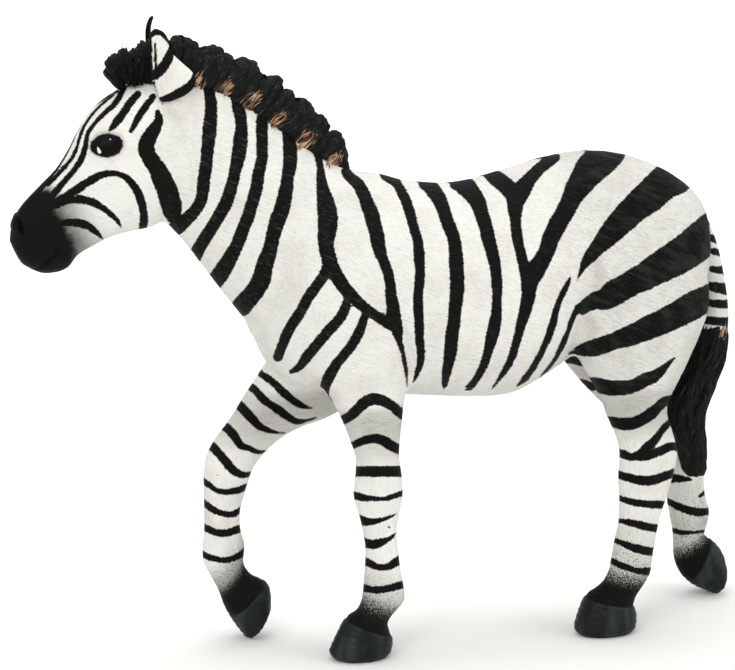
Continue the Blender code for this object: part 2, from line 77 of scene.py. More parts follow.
NEAR_FORE = (
    (-21, 66, -1, 66, 4.4), (-19, 57, -0.5, 57, 5.0), (-16.5, 52, -0.3, 51, 4.8),
    (-13.6, 47.4, -0.9, 47, 4.4), (-12, 44, -1.2, 44, 4), (-10.6, 40.3, -1.6, 40.5, 3.6),
    (-9.7, 37.4, -1.7, 37.7, 3.3), (-9.9, 34, -1.2, 34, 3.3), (-10.2, 30.5, -1, 30.5, 3.4),
    (-9.2, 27, -1.6, 27, 2.9), (-8.5, 24, -2.1, 23.7, 2.5), (-8, 20.5, -1.9, 20.8, 2.4),
    (-8.1, 16.5, -1.4, 16.5, 2.6), (-8.4, 12.9, -0.7, 12.5, 2.9), (-8.7, 10.8, -0.6, 10.3, 2.9),
    (-9.6, 9, -2.6, 8.2, 2.8), (-11, 8, -3.9, 6.4, 3.2), (-12.0, 6.9, -3.7, 4.8, 3.9),
    (-12.8, 5.4, -3.2, 3.8, 4.1), (-14.2, 2.6, -3.2, 1.9, 4.3), (-14.7, 1.5, -3.4, 1.0, 4.15),
    (-13.4, 0, -4.3, 0, 3.0),
)
FAR_FORE = (
    (-17, 60, -3, 52, 4.4), (-20, 55, -5, 45, 5.0), (-23, 50.5, -9, 41.8, 4.9),
    (-26, 46.2, -15, 40, 4.5), (-28.6, 42.2, -19, 38.2, 4), (-31.2, 39, -22.3, 35.5, 3.6),
    (-33, 36, -24.3, 33, 3.5), (-33.7, 32, -25.3, 30.5, 3.4), (-33.7, 28.5, -26.1, 28, 3.2),
    (-33.7, 25, -26.9, 25, 2.7), (-33.8, 21.5, -26.9, 21.5, 2.5), (-34.1, 18, -26.1, 18, 2.7),
    (-34, 15.6, -26.4, 15, 2.9), (-32.6, 12.6, -25.6, 13.2, 2.8), (-31, 9.4, -24.6, 12.2, 2.9),
    (-30.3, 7.1, -23.6, 11.5, 3.2), (-29.2, 5.1, -22.5, 10.9, 3.9), (-28.3, 3.7, -21.8, 10.2, 4.1),
    (-27.0, 1.8, -21.5, 8.6, 4.2), (-25.6, 0, -21.5, 6.6, 4.0),
)
NEAR_HIND = (
    (33, 70, 57, 72, 5.4), (31.6, 60, 58.5, 62, 6.2), (33.2, 53, 56.1, 55, 6),
    (35.6, 48.8, 53.2, 49, 5.4), (37.7, 44.9, 50.9, 44.5, 4.7), (38.8, 42, 50.5, 42, 4.2),
    (40.2, 39, 51.3, 39.5, 3.8), (41.3, 36, 52.4, 36.2, 3.5), (41.5, 33, 52.9, 33.5, 3.3),
    (41.3, 30.3, 52.3, 30.3, 3.1), (41.5, 27, 51.4, 27, 2.9), (41.6, 24, 50.4, 24, 2.7),
    (41.4, 20.5, 49.4, 20.5, 2.6), (40.6, 17, 48.7, 16.5, 2.6), (40.1, 13.5, 48.2, 13.2, 2.8),
    (39.5, 11.2, 47.9, 11, 2.9), (38.2, 9.4, 46.2, 8.4, 2.9), (36.2, 8.1, 44.9, 6.6, 3.2),
    (35.1, 6.9, 44.4, 5.3, 3.9), (34.4, 5.4, 44.9, 4.0, 4.1), (33.5, 2.6, 45, 1.9, 4.3),
    (33.2, 1.5, 44.9, 1.0, 4.15), (34.4, 0, 44.0, 0, 3.0),
)
FAR_HIND = (
    (34, 66, 58, 68, 5.4), (33.0, 58, 58.5, 60, 6.2), (34.9, 52, 57.5, 54.5, 5.8),
    (38.3, 47, 56.8, 49.8, 5), (42.2, 42.5, 56.6, 46, 4.4), (46.5, 38.5, 57.8, 42.3, 3.9),
    (51, 35, 60.5, 39, 3.6), (54.8, 31.8, 64.0, 35.8, 3.4), (57.2, 28.5, 66.3, 32.3, 3.3),
    (58.3, 25.5, 66.8, 28.5, 3.1), (58.6, 22.5, 66.2, 24.5, 2.8), (58.8, 19.5, 66.5, 20.5, 2.7),
    (59.3, 16.7, 67.5, 16.8, 2.8), (60, 13.6, 67, 14.2, 2.8), (60.3, 11, 66.4, 12.4, 2.7),
    (60.6, 7.5, 67, 11.6, 2.9), (61.9, 4.6, 68.1, 10.8, 3.3), (63.3, 3.2, 68.9, 10.0, 3.8),
    (64.6, 2.2, 69.6, 9.2, 3.95), (66.9, 1.0, 70.4, 7.6, 4.05), (69.2, 0, 70.8, 5.4, 3.8),
)
TRACK = 8.6


def through(rows, steps):
    """Points on a smooth curve through rows of numbers."""
    rows = np.array(rows, float)
    gaps = np.linalg.norm(np.diff(rows[:, :2], axis=0), axis=1).clip(0.3)
    at = np.concatenate(([0], np.cumsum(gaps)))
    slope = np.gradient(rows, at, axis=0)
    fine = []
    for i, gap in enumerate(gaps):
        for t in np.arange(steps) / steps:
            a, b = (2 * t - 3) * t * t + 1, ((t - 2) * t + 1) * t * gap
            c, d = (3 - 2 * t) * t * t, (t - 1) * t * t * gap
            fine.append(a * rows[i] + b * slope[i] + c * rows[i + 1] + d * slope[i + 1])
    fine.append(rows[-1])
    return np.array(fine)


def skin_faces(count, turn):
    """The faces of a closed skin over a count of rings of points."""
    faces = [
        (a + i, a + turn + i, a + turn + (i + 1) % turn, a + (i + 1) % turn)
        for a in range(0, (count - 1) * turn, turn) for i in range(turn)
    ]
    last = (count - 1) * turn
    return faces + [tuple(range(turn)), tuple(last + i for i in reversed(range(turn)))]


def rings(rows, y=0.0, low=0.0, steps=6, turn=RING, sinew=None):
    """Closed skin over stations: its points in mm and its faces.

    Low is the share by which it is widened at the lower edge and narrowed at
    the upper one. A sinew is a groove on both sides between two stations:
    where it starts and ends, how far to the front it lies, and its depth as
    a share."""
    fine = through(rows, steps)
    angle = 2 * pi * np.arange(turn) / turn
    edge, side = np.cos(angle), np.sin(angle)
    points = []
    for i, (x1, z1, x2, z2, half) in enumerate(fine):
        x = (x1 + x2) / 2 + (x1 - x2) / 2 * edge
        z = (z1 + z2) / 2 + (z1 - z2) / 2 * edge
        sides = half * side * (1 - low * edge)
        if sinew:
            start, end, front, depth = sinew
            run = (i / steps - start) / (end - start)
            reach = max(0.0, 1 - (2 * run - 1) ** 4)
            sides = sides * (1 - depth * reach * np.exp(-(((edge - front) / SINEW_WIDTH) ** 2)))
        points.append(np.stack((x, y + sides, z), axis=1))
    return np.concatenate(points), skin_faces(len(fine), turn)


def mesh_of(name, points, faces):
    """A mesh from points in mm, with its faces outwards."""
    mesh = bpy.data.meshes.new(name)
    mesh.from_pydata((np.asarray(points) * MM).tolist(), [], faces)
    shape = bmesh.new()
    shape.from_mesh(mesh)
    bmesh.ops.recalc_face_normals(shape, faces=shape.faces)
    shape.to_mesh(mesh)
    shape.free()
    return mesh


def shade_smooth(mesh):
    """Shade a mesh's faces smoothly."""
    for face in mesh.polygons:
        face.use_smooth = True


def thing_of(mesh, name):
    """A mesh in the scene as a named object."""
    thing = bpy.data.objects.new(name, mesh)
    bpy.context.scene.collection.objects.link(thing)
    return thing


def settle(thing):
    """Bake an object's modifiers into its mesh."""
    depsgraph = bpy.context.evaluated_depsgraph_get()
    mesh = bpy.data.meshes.new_from_object(thing.evaluated_get(depsgraph))
    thing.modifiers.clear()
    thing.data = mesh
    return mesh


def fuse(name, forms, voxel):
    """One skin round overlapping forms."""
    points, faces, start = [], [], 0
    for form_points, form_faces in forms:
        points.append(form_points)
        faces += [tuple(start + i for i in face) for face in form_faces]
        start += len(form_points)
    thing = thing_of(mesh_of(name, np.concatenate(points), faces), name)
    remesh = thing.modifiers.new("Clay", "REMESH")
    remesh.mode = "VOXEL"
    remesh.voxel_size = voxel * MM
    settle(thing)
    return thing


def places(mesh):
    """A mesh's points in mm."""
    flat = np.empty(len(mesh.vertices) * 3)
    mesh.vertices.foreach_get("co", flat)
    return flat.reshape(-1, 3) / MM


def place(mesh, points):
    """Move a mesh's points to places in mm."""
    mesh.vertices.foreach_set("co", (points * MM).ravel())
    mesh.update()


def outward(mesh):
    """The outward direction at each point."""
    flat = np.empty(len(mesh.vertices) * 3)
    mesh.vertex_normals.foreach_get("vector", flat)
    return flat.reshape(-1, 3)


def rub(mesh, turns, weight=1.0, fill=False):
    """Smooth a skin; with fill, only its creases, which clay is pressed into."""
    edges = np.empty(len(mesh.edges) * 2, int)
    mesh.edges.foreach_get("vertices", edges)
    a, b = edges.reshape(-1, 2).T
    count = np.bincount(np.concatenate((a, b)), minlength=len(mesh.vertices))[:, None]
    points = places(mesh)
    weight = np.broadcast_to(np.asarray(weight, float), (len(points),))[:, None]
    for _ in range(turns):
        mean = np.empty_like(points)
        for axis in range(3):
            mean[:, axis] = np.bincount(a, points[b, axis], len(points))
            mean[:, axis] += np.bincount(b, points[a, axis], len(points))
        move = (mean / count - points) * weight * 0.5
        if fill:
            normal = outward(mesh)
            out = (move * normal).sum(1, keepdims=True)
            move = np.where(out > 0, move, move - out * normal)
        points = points + move
        if fill:
            place(mesh, points)
    place(mesh, points)


def shifted(rows):
    """Stations moved from the master's zero to the frame's."""
    return [(r[0] + MASTER_X, r[1], r[2] + MASTER_X, r[3], r[4]) for r in rows]


# Each leg: its stations, its place, and the sinews behind its cannon bone.
legs = {
    "front_left_leg": (NEAR_FORE, -TRACK, (8, 13.5, -0.30, 0.24)),
    "front_right_leg": (FAR_FORE, TRACK, (8, 13, -0.30, 0.24)),
    "rear_left_leg": (NEAR_HIND, -TRACK, (5, 14.5, -0.38, 0.26)),
    "rear_right_leg": (FAR_HIND, TRACK, (5, 13.5, -0.38, 0.26)),
}
# The rows of its stations between which each leg parts from the torso.
SEAM_ROWS = (3, 4)
forms = [rings(shifted(TRUNK), low=TRUNK_TAPER), rings(shifted(NECK)), rings(shifted(HEAD))]
for rows, y, sinew in legs.values():
    forms.append(rings(shifted(rows), y, sinew=sinew))
master = fuse("master", forms, VOXEL)


def ease(low, high, value):
    """Rises smoothly from 0 at low to 1 at high."""
    t = ((value - low) / (high - low)).clip(0, 1)
    return t * t * (3 - 2 * t)


# The master is rubbed down all over, least on the hooves. Then its creases above
# the legs and behind the head are filled and smoothed, least in the groin.
points = places(master.data)
rub(master.data, 4, 0.35 + 0.65 * ease(5, 11, points[:, 2]))
roots = ease(38, 46, points[:, 2]) * ease(-46, -38, points[:, 0])
groin = np.linalg.norm(points[:, (0, 2)] - GROIN, axis=1)
roots = roots * (0.25 + 0.75 * ease(2, 7, groin))
rub(master.data, 60, roots, fill=True)
rub(master.data, 6, roots)

# The drawing: where points of the figure lie in a picture of its left front,
# in the picture's pixels, 735 wide and 670 high.
PICTURE = (735, 670)
VIEW_AZIMUTH = radians(-17.5)
VIEW_ELEVATION = radians(12.3)
VIEW_DISTANCE = 528.0
VIEW_TARGET = np.array((-4.9 + MASTER_X, 0.0, 58.3))
FOCAL = 2904.0
PER_MM = 5.5
view_right = np.array((cos(VIEW_AZIMUTH), sin(VIEW_AZIMUTH), 0.0))
view_back = np.array((
    sin(VIEW_AZIMUTH) * cos(VIEW_ELEVATION),
    -cos(VIEW_AZIMUTH) * cos(VIEW_ELEVATION),
    sin(VIEW_ELEVATION),
))
view_up = np.cross(view_back, view_right)


def drawn(points):
    """Where points in mm lie in the drawing."""
    offset = points - VIEW_TARGET
    depth = VIEW_DISTANCE - offset @ view_back
    u = PICTURE[0] / 2 + FOCAL * (offset @ view_right) / depth
    v = PICTURE[1] / 2 - FOCAL * (offset @ view_up) / depth
    return np.stack((u, v), axis=1)


def lifted(spots, y):
    """Points in mm on the upright plane at y, from where they are drawn."""
    spots = np.asarray(spots, float)
    eye = VIEW_TARGET + view_back * VIEW_DISTANCE
    ray = (spots[:, :1] - PICTURE[0] / 2) * view_right - FOCAL * view_back
    ray = ray - (spots[:, 1:2] - PICTURE[1] / 2) * view_up
    reach = (y - eye[1]) / ray[:, 1]
    return eye + ray * reach[:, None]


# Distances that stand for far from every stroke and well inside one.
FAR = 99.0
INSIDE = -9.0


def edge_distance(spots, strokes, room=20):
    """Pixels from drawn spots to the nearest stroke's edge, negative inside.

    A stroke is a row of points with half widths, joined smoothly. Spots that
    lie further off than the room are left far away."""
    nearest = np.full(len(spots), FAR)
    for stroke in strokes:
        line = through(stroke, 4)
        reach = line[:, 2].max() + room
        low, high = line[:, :2].min(0) - reach, line[:, :2].max(0) + reach
        near = np.flatnonzero(((spots > low) & (spots < high)).all(1))
        best = np.full(len(near), FAR)
        for start, end in zip(line, line[1:]):
            run = end[:2] - start[:2]
            along = ((spots[near] - start[:2]) @ run / max(run @ run, 1e-6)).clip(0, 1)
            away = np.linalg.norm(spots[near] - start[:2] - along[:, None] * run, axis=1)
            best = np.minimum(best, away - start[2] - along * (end[2] - start[2]))
        nearest[near] = np.minimum(nearest[near], best)
    return nearest


# Black brush stripes, in the drawing's pixels: along the middle of each
# stripe, with its half width.
NECK_AND_BARREL = (
    ((208, 84, 5.5), (211, 106, 6), (210, 125, 7), (208, 145, 6.5), (206, 165, 6.3),
     (204, 180, 6.5), (202, 196, 6.3), (197, 208, 6), (191, 215, 6.5), (181, 224, 7.5),
     (172, 231, 7.5)),
    ((236, 92, 4), (238, 106, 6.5), (241, 120, 5.7), (240.5, 140, 7.2), (238, 158, 7),
     (235, 172, 6), (231, 188, 6.3), (226.5, 202, 6.6), (219, 216, 6.5), (211, 229, 6.4),
     (201, 245, 6.6), (195, 256, 7)),
    ((263, 108, 4.5), (262, 122, 6), (262, 142, 5.7), (262, 158, 5.8), (259, 172, 6),
     (256, 190, 6.5), (252, 204, 6.3), (247.5, 218, 6.4), (242, 232, 6.5), (237, 245, 6.6),
     (230, 258, 7.6), (223, 270, 8.5), (216, 280, 8.5)),
    ((287, 128, 5), (290, 148, 7), (290, 164, 7), (288, 176, 6.5), (286, 190, 7),
     (282, 208, 8), (277, 222, 8), (273, 236, 7.2), (270, 250, 7.5), (265, 264, 8.5),
     (261, 280, 9.5), (254, 292, 9.5), (242, 306, 10)),
    ((317, 153, 4), (320, 166, 3.5), (321, 178, 4.8), (323, 190, 6.5), (326, 204, 9),
     (328, 218, 10), (327, 232, 9.3), (326, 246, 7.8), (329, 258, 7.6), (331, 268, 8)),
    ((328, 266, 6), (323, 277, 5.5), (315, 288, 5.5), (308, 298, 5.5), (302, 309, 5.5),
     (295, 320, 5.5), (288, 332, 5.5), (282, 346, 5.3), (278, 357, 4.8)),
    ((332, 268, 7.5), (339, 280, 7), (348, 292, 6.5), (358, 302, 6), (370, 312, 5.5),
     (383, 320, 5.5), (396, 329, 5)),
    ((348, 298, 4), (346, 306, 5), (340, 318, 5.5), (333, 326, 5.5), (324, 336, 5.5),
     (315, 347, 5.3), (306, 358, 5.2), (299, 367, 4), (291, 372, 2)),
    ((365, 314, 3), (363, 322, 4.5), (359.5, 331, 5.2), (352, 345, 5), (344, 355, 5),
     (336, 365, 5.2), (331, 373, 5.6), (327, 381, 5.6), (325, 389, 4.5), (328, 397, 2),
     (332, 401, 0.7)),
    ((346, 172, 5), (351, 178, 5.3), (358, 184, 6), (363, 193, 6.5), (367, 203, 7),
     (371, 213, 7.5), (374, 224, 7.5), (377, 236, 7.3), (379, 248, 6.8), (383, 260, 5.4),
     (387, 270, 5.3), (390, 282, 5.2), (391, 294, 5.8), (393, 308, 6.8), (394, 319, 7.5),
     (397, 330, 6), (399, 340, 3.5), (402, 350, 2.4), (404, 360, 2.1), (406, 370, 2),
     (407, 380, 1), (407, 387, 0.4)),
    ((388, 174, 8), (397, 184, 5), (401, 191, 5), (406, 201, 5.2), (410, 213, 5.3),
     (414, 228, 5), (418, 242, 5), (419, 256, 5.5), (420, 270, 5), (419, 285, 5),
     (418, 300, 5), (419, 320, 5), (419.5, 340, 4.6), (421, 355, 4), (420, 365, 3.5),
     (417, 373, 2.6), (413, 383, 0.7)),
    ((426, 182, 8), (433, 190, 7.5), (440, 201, 7.3), (444, 211, 6.6), (447, 221, 6.8),
     (452, 233, 6.5), (455, 245, 6.8), (456, 260, 7.2), (457, 275, 7.3), (457, 292, 7),
     (455, 310, 6.5), (454, 322, 6.5), (452, 334, 6.6), (451, 346, 6.7), (449.5, 358, 6),
     (447, 370, 5), (445, 382, 3.3), (444, 390, 2.2)),
    ((460, 181, 11), (469, 190, 9.5), (477, 201, 8.2), (481, 212, 7.4), (485, 224, 7),
     (488, 236, 6.8), (491, 248, 6.6), (494, 260, 6), (496, 272, 5.6), (497, 285, 5.5),
     (497, 300, 4.8), (496, 315, 5.7), (494, 328, 6.4), (491, 340, 6), (488, 352, 4.6),
     (484, 364, 4.4), (480, 373, 3.8), (474, 382, 3.6), (467, 390, 3.6), (460, 395, 1)),
)
RUMP_AND_THIGH = (
    ((488, 171, 7), (496, 178, 8), (506, 186, 8.5), (515, 196, 9.5), (515, 208, 7.6),
     (515.5, 220, 5.6), (517, 235, 5.6), (520, 250, 5.3), (523, 262, 5.5), (528, 274, 8)),
    ((553, 157, 7), (545, 164, 6), (537, 171, 6), (530, 179, 7), (523, 188, 9), (517, 197, 10)),
    ((607, 150, 19), (600, 160, 17), (590, 170, 15.5), (583, 180, 13.5), (576, 190, 11.5),
     (571, 200, 9.8), (566, 210, 9.3), (560, 220, 9.2), (555, 230, 9.2), (550, 240, 8.6),
     (547, 250, 8.3), (542, 260, 8.6), (536, 270, 9.5), (530.5, 278, 9.8), (529, 286, 8),
     (528.5, 295, 7.2), (526.5, 305, 6.5), (524, 315, 6), (521, 325, 5), (518.5, 335, 4.5),
     (515.7, 345, 4.2), (512.7, 355, 4.1), (508, 365, 3.6), (502, 375, 2.6),
     (494.7, 385, 1.2), (490, 391, 0.3)),
    ((571, 276, 0.7), (567, 285, 2.6), (563, 293, 3), (560, 300, 3.1), (556, 310, 3.3),
     (554, 320, 3.7), (551, 330, 3.7), (547, 340, 3.6), (542.5, 350, 3.2), (537.5, 360, 3.2),
     (531.5, 370, 3.1), (523.5, 380, 2.9), (517, 386, 0.8)),
    ((583, 309, 6), (580, 308, 5), (576.5, 311, 3.3), (572, 320, 2.8), (568.5, 330, 2.4),
     (564.5, 340, 3), (560, 350, 2.7), (554.5, 360, 2.2), (547, 370, 1.7), (536, 382, 0.5)),
    ((675, 176, 19), (664, 183, 17), (652, 194, 16.5), (634, 209, 14.2), (618, 225, 12.8),
     (609, 235, 11), (600, 245, 8.5), (592, 254, 6.9), (586, 262, 4.8), (581.5, 270, 2.5),
     (577, 281, 0.5)),
    ((713, 231, 19), (700, 241, 18.5), (690, 249, 18), (678, 257, 17.5), (666, 264, 16.5),
     (655, 270, 15), (645, 276.5, 14), (635, 281, 13), (625, 287, 12.5), (615, 292.5, 13),
     (605, 299, 11), (595, 301, 8.8), (585, 306, 6.5), (579, 309, 4.5)),
    ((714, 296, 13.5), (702, 301, 13.5), (691, 307, 14), (680, 313, 13.2), (670, 318, 13),
     (660, 323, 12.2), (650, 327, 12), (640, 331.5, 11), (629, 336, 10.5), (617, 340, 8.5),
     (605, 344.5, 8.7), (595, 347.5, 8.8), (585, 349.5, 7), (577, 351, 4), (569, 354, 1)),
    ((675, 358, 0.8), (668, 364, 2.5), (661, 371, 4.6), (653, 377, 6.4), (645, 380, 7),
     (636, 385, 6.8), (626, 387.5, 7.2), (615, 388, 7.6), (605, 387, 7.6), (596, 384, 6.5),
     (590, 380, 3)),
)
FAR_THIGH = (
    ((712, 334, 3), (700, 341, 5), (686, 348, 6), (672, 356, 6.5), (656, 367, 6), (644, 379, 7)),
)
NEAR_HIND_STRIPES = (
    ((603, 419, 4), (612, 422, 5.2), (624, 424, 6.3), (634, 423, 6.4), (643, 419, 6),
     (651, 413.5, 6), (658, 407, 5), (663, 402.5, 5), (670, 400, 5)),
    ((612, 452, 4), (622, 454, 4.2), (632, 457, 3.8), (641, 454, 5), (648, 447, 5),
     (655, 440, 4.2), (660, 433, 3.5), (666, 426, 3.4), (672, 420, 3)),
    ((632, 457, 3.5), (645, 456, 4.8), (655, 453, 4.5), (663, 450, 4.5), (670, 446.5, 4.4),
     (677, 447, 4)),
    ((614, 472.5, 3.5), (621, 475.5, 4), (630, 478, 4.3), (641, 480.5, 4.7), (650, 480.5, 5),
     (660, 478, 4.6), (668, 475, 4.5), (675, 472, 4)),
    ((612, 495, 2.5), (622, 499, 3), (634, 502.5, 3.4), (646, 504, 3.6), (658, 504.6, 4),
     (668, 505, 4)),
    ((611, 520, 2), (620, 521, 2.2), (630, 522.5, 3.5), (640, 525, 4), (650, 527.3, 4),
     (660, 529, 4)),
    ((608, 538, 2.5), (618, 541.5, 2.6), (628, 545.5, 3.6), (638, 549, 4.2), (648, 551, 4.4),
     (658, 552, 4.4)),
    ((605, 556.5, 2.7), (616, 563, 3.2), (625, 567, 3.5), (636, 570.5, 3), (649, 571.5, 4.2),
     (658, 572, 4)),
)
FAR_HIND_STRIPES = (
    ((606, 394, 3), (612, 390, 5), (622, 385, 5.5), (642, 380, 5.5), (664, 375, 4)),
    ((622, 422, 4), (634, 412, 4.5), (645, 406, 5), (660, 400, 5), (676, 396, 4)),
    ((645, 438, 4), (654, 428, 4.5), (665, 421, 4.5), (680, 416, 4.5), (692, 412, 3)),
    ((659, 454, 3), (667, 445, 4), (678, 438, 4.2), (690, 434, 4), (699, 431, 2)),
    ((563, 361, 2), (572, 359.5, 4.6), (578, 360.5, 4.6), (585, 364.5, 2.5)),
    ((575, 380, 1), (580, 381.5, 2.4), (586, 384, 3.6), (593, 387, 4)),
    ((664, 478, 4.5), (678, 478.5, 4), (686, 479, 2.5), (692, 480, 0.8)),
    ((662, 498, 2), (675, 505, 3.5), (686, 509.5, 4), (696, 512, 4.2), (714, 510.5, 3.4)),
    ((668, 529, 2.6), (682, 532.5, 2.6), (692, 532.5, 1.8), (704, 531, 1.5)),
    ((706, 492, 2.5), (700, 496, 1.4)),
)
NEAR_FORE_STRIPES = (
    ((338, 423, 4.5), (350, 416, 5), (358, 409, 5.5), (366, 401.5, 6), (374, 399, 6),
     (383, 401, 5.5), (391, 405, 5), (398, 411, 5), (406, 418, 4.5)),
    ((346, 448, 3.5), (356, 444, 3.8), (367, 439.5, 4.5), (376, 438.5, 4.6), (384, 441, 5.3),
     (391, 445.5, 5.2), (400, 449.5, 5), (408, 452.5, 4.5)),
    ((350, 471.5, 5), (370, 471.5, 5.5), (390, 471.5, 5.5), (408, 471.5, 5.5)),
    ((348, 494, 4), (360, 497, 4), (372, 498.5, 2.6), (384, 499, 2.3), (394, 496, 2.6),
     (407, 492, 3.5)),
    ((354, 518, 5.5), (365, 521.5, 4.5), (374, 521.5, 3.2), (382, 519.5, 2.3),
     (390, 517, 1.5), (396, 514, 0.5)),
    ((360, 541, 5), (370, 544, 4.6), (377, 544, 4.5), (385, 541, 3.2), (391, 537.5, 2),
     (396, 533, 0.6)),
    ((358, 558, 4), (369, 563, 4), (378, 567, 3.2), (388, 566.5, 3.5), (396, 562, 4.5),
     (406, 557, 5.5)),
    ((358, 586, 4), (370, 589.5, 3.6), (382, 589.5, 3.6), (394, 587, 3.8), (410, 583, 4)),
)
FAR_FORE_STRIPES = (
    ((256, 369, 3.2), (264, 376, 3.6), (271, 381, 3.8), (278, 387, 4), (284, 393, 4.3),
     (291, 399, 4), (298, 403.5, 3.5), (306, 407, 2), (314, 408.5, 0.6)),
    ((247, 384, 4), (256, 391, 4), (263, 399, 4.2), (271, 405, 4), (280, 411, 4.3),
     (288, 417, 4), (297, 421.5, 3), (306, 420.5, 1.6), (317, 417.5, 0.5)),
    ((234, 400, 4.5), (243, 409, 4.8), (250, 416.5, 4.8), (258, 425, 4.2), (266, 429.5, 3),
     (276, 432.3, 1.6), (285, 433, 0.9)),
    ((218, 422, 4.4), (228, 429, 4.6), (235, 437, 4.5), (241, 445.5, 3.8), (250, 449, 2.8),
     (258, 452, 2.4), (267, 451, 0.8)),
    ((205, 440, 4), (214, 448, 4.6), (220, 454.5, 4.4), (226, 462, 4.8), (233, 469.5, 4.4),
     (240, 474.5, 3.6), (252, 474, 2.4)),
    ((200, 478, 2.8), (209, 485, 3), (217, 490.5, 2.6), (226, 492, 3), (236, 490.5, 3.6),
     (249, 486, 3)),
    ((199, 499, 3), (208, 506, 3.5), (216, 511, 3.2), (225, 514, 3), (234, 514, 3.2),
     (243, 506, 1.5)),
    ((198, 523, 3.4), (208, 529, 3.5), (218, 533, 3.6), (227, 533, 3.8), (236, 530, 3.8),
     (246, 526, 3.6)),
    ((197, 551, 3.5), (208, 556.5, 3.2), (218, 559.5, 3), (228, 560, 3), (236, 557, 3.2),
     (248, 550, 4)),
)
FACE_STRIPES = (
    ((118, 91, 1), (104, 99, 0.9), (92, 107, 0.9), (84, 116, 0.9), (78, 129, 0.9),
     (67, 152, 1.2), (57, 168, 1.8), (46, 182, 2.6), (37, 194, 3.5)),
    ((113, 95, 1.3), (98, 108, 1.4), (88, 120, 1.4), (81, 133, 1.6), (77, 147, 1.8),
     (72, 158, 2.0), (62, 170, 2.2), (48, 184, 2.6)),
    ((124, 88, 3), (116, 102, 3), (106, 112, 2.6), (96, 122, 2.2), (88, 133, 2.2),
     (85, 148, 2.8), (81, 160, 3.2), (74, 170, 3), (64, 182, 3), (52, 196, 3.5)),
    ((138, 94, 3.6), (130, 103, 4), (122.5, 114, 4), (115, 124, 3.8), (110, 130, 1.6)),
    ((153, 97, 3.3), (144, 109, 3.6), (137, 120, 3.5), (131, 131, 2)),
    ((157.5, 112, 2.5), (159, 119, 4.3), (155, 128, 6), (149, 138, 7.5), (146, 148, 8),
     (150, 158, 8.2), (157, 168, 8.7), (162, 179, 10), (167, 190, 10.5), (170.5, 202, 10.5),
     (172.5, 212, 9), (171, 219, 4)),
    ((54, 203, 4), (66, 197, 4.5), (77, 189.5, 4.3), (87.5, 182.5, 4.2), (97.5, 176.5, 4),
     (107.5, 173.7, 3.2), (117.5, 173.8, 2.8), (127, 178.5, 3.6), (134.5, 186.5, 4),
     (139.5, 196.5, 4.2), (143, 209, 4.2), (144, 221, 4.2), (142.5, 230, 3.8)),
    ((56, 206, 3), (64, 202, 3.5), (74, 199.5, 4), (84, 199.7, 4.2), (94, 203, 4),
     (103, 208, 3.2), (111, 214.5, 3), (118, 222, 2), (121, 227, 0.8)),
    ((58, 225, 3), (66, 222.5, 3.5), (76, 223, 4), (86, 225, 4.2), (94, 230.5, 3),
     (100, 236, 2), (103, 239, 0.7)),
)
EYE = (((98.5, 146.5, 8.5), (106, 145.5, 12), (114, 144.5, 9), (118, 142, 4)),)
EYE_GLINTS = (
    ((97.6, 147, 0.3), (98.6, 150, 1.3), (99.6, 152, 1.6)),
    ((109.5, 139, 0.6), (110.5, 139.3, 0.6)),
)
NOSTRIL = (((18.5, 220, 1.5), (19.5, 226, 3.2), (22, 233, 1.8)),)
# Sprayed black with a soft edge: the muzzle, and the right fore pastern up to
# this height in mm above its hoof. Then how dense the faint dust above it is.
MUZZLE = (((25, 213, 19), (32, 232, 25), (48, 253, 21)), ((46, 196, 3), (42, 204, 9)))
PASTERN_SPRAY = 3.45
FAINT_DUST = 0.30
# Tan dry-brushed between the stripes at the roots of the mane.
TAN_ROOTS = (
    ((199, 77, 3), (200, 85, 3)), ((231, 84, 4.5), (225, 92, 5.5)),
    ((254, 98, 4.5), (249, 107, 5.5)), ((281, 116, 4.5), (273, 126, 5)),
    ((309, 137, 5), (301, 146, 6)), ((335, 158, 4.5), (329, 164, 5)),
)
# Painted shade: warm shadows brushed thinly on the white along creases. Stray flecks of paint.
CREASE_SHADOWS = (
    ((596, 262, 2), (600, 275, 4), (596, 290, 3)), ((588, 318, 3), (592, 330, 5), (590, 343, 3)),
    ((168, 108, 3), (178, 118, 4)), ((318, 385, 6), (335, 398, 5)),
    ((400, 345, 2), (408, 372, 3)), ((222, 520, 5), (226, 545, 6)),
)
FLECKS = (
    ((131, 114, 0.5), (131.6, 114.5, 0.5)), ((162.6, 103, 0.4), (163, 104.5, 0.6)),
    ((361, 376, 0.6), (361.8, 376.6, 0.7)), ((388.6, 527, 0.9), (389.6, 527.4, 0.9)),
    ((413, 354, 0.6), (413.5, 355, 0.6)), ((217, 475, 0.5), (218, 475.3, 0.5)),
    ((404, 299, 0.5), (404.6, 300, 0.5)), ((453, 296, 0.4), (453.5, 297, 0.4)),
)

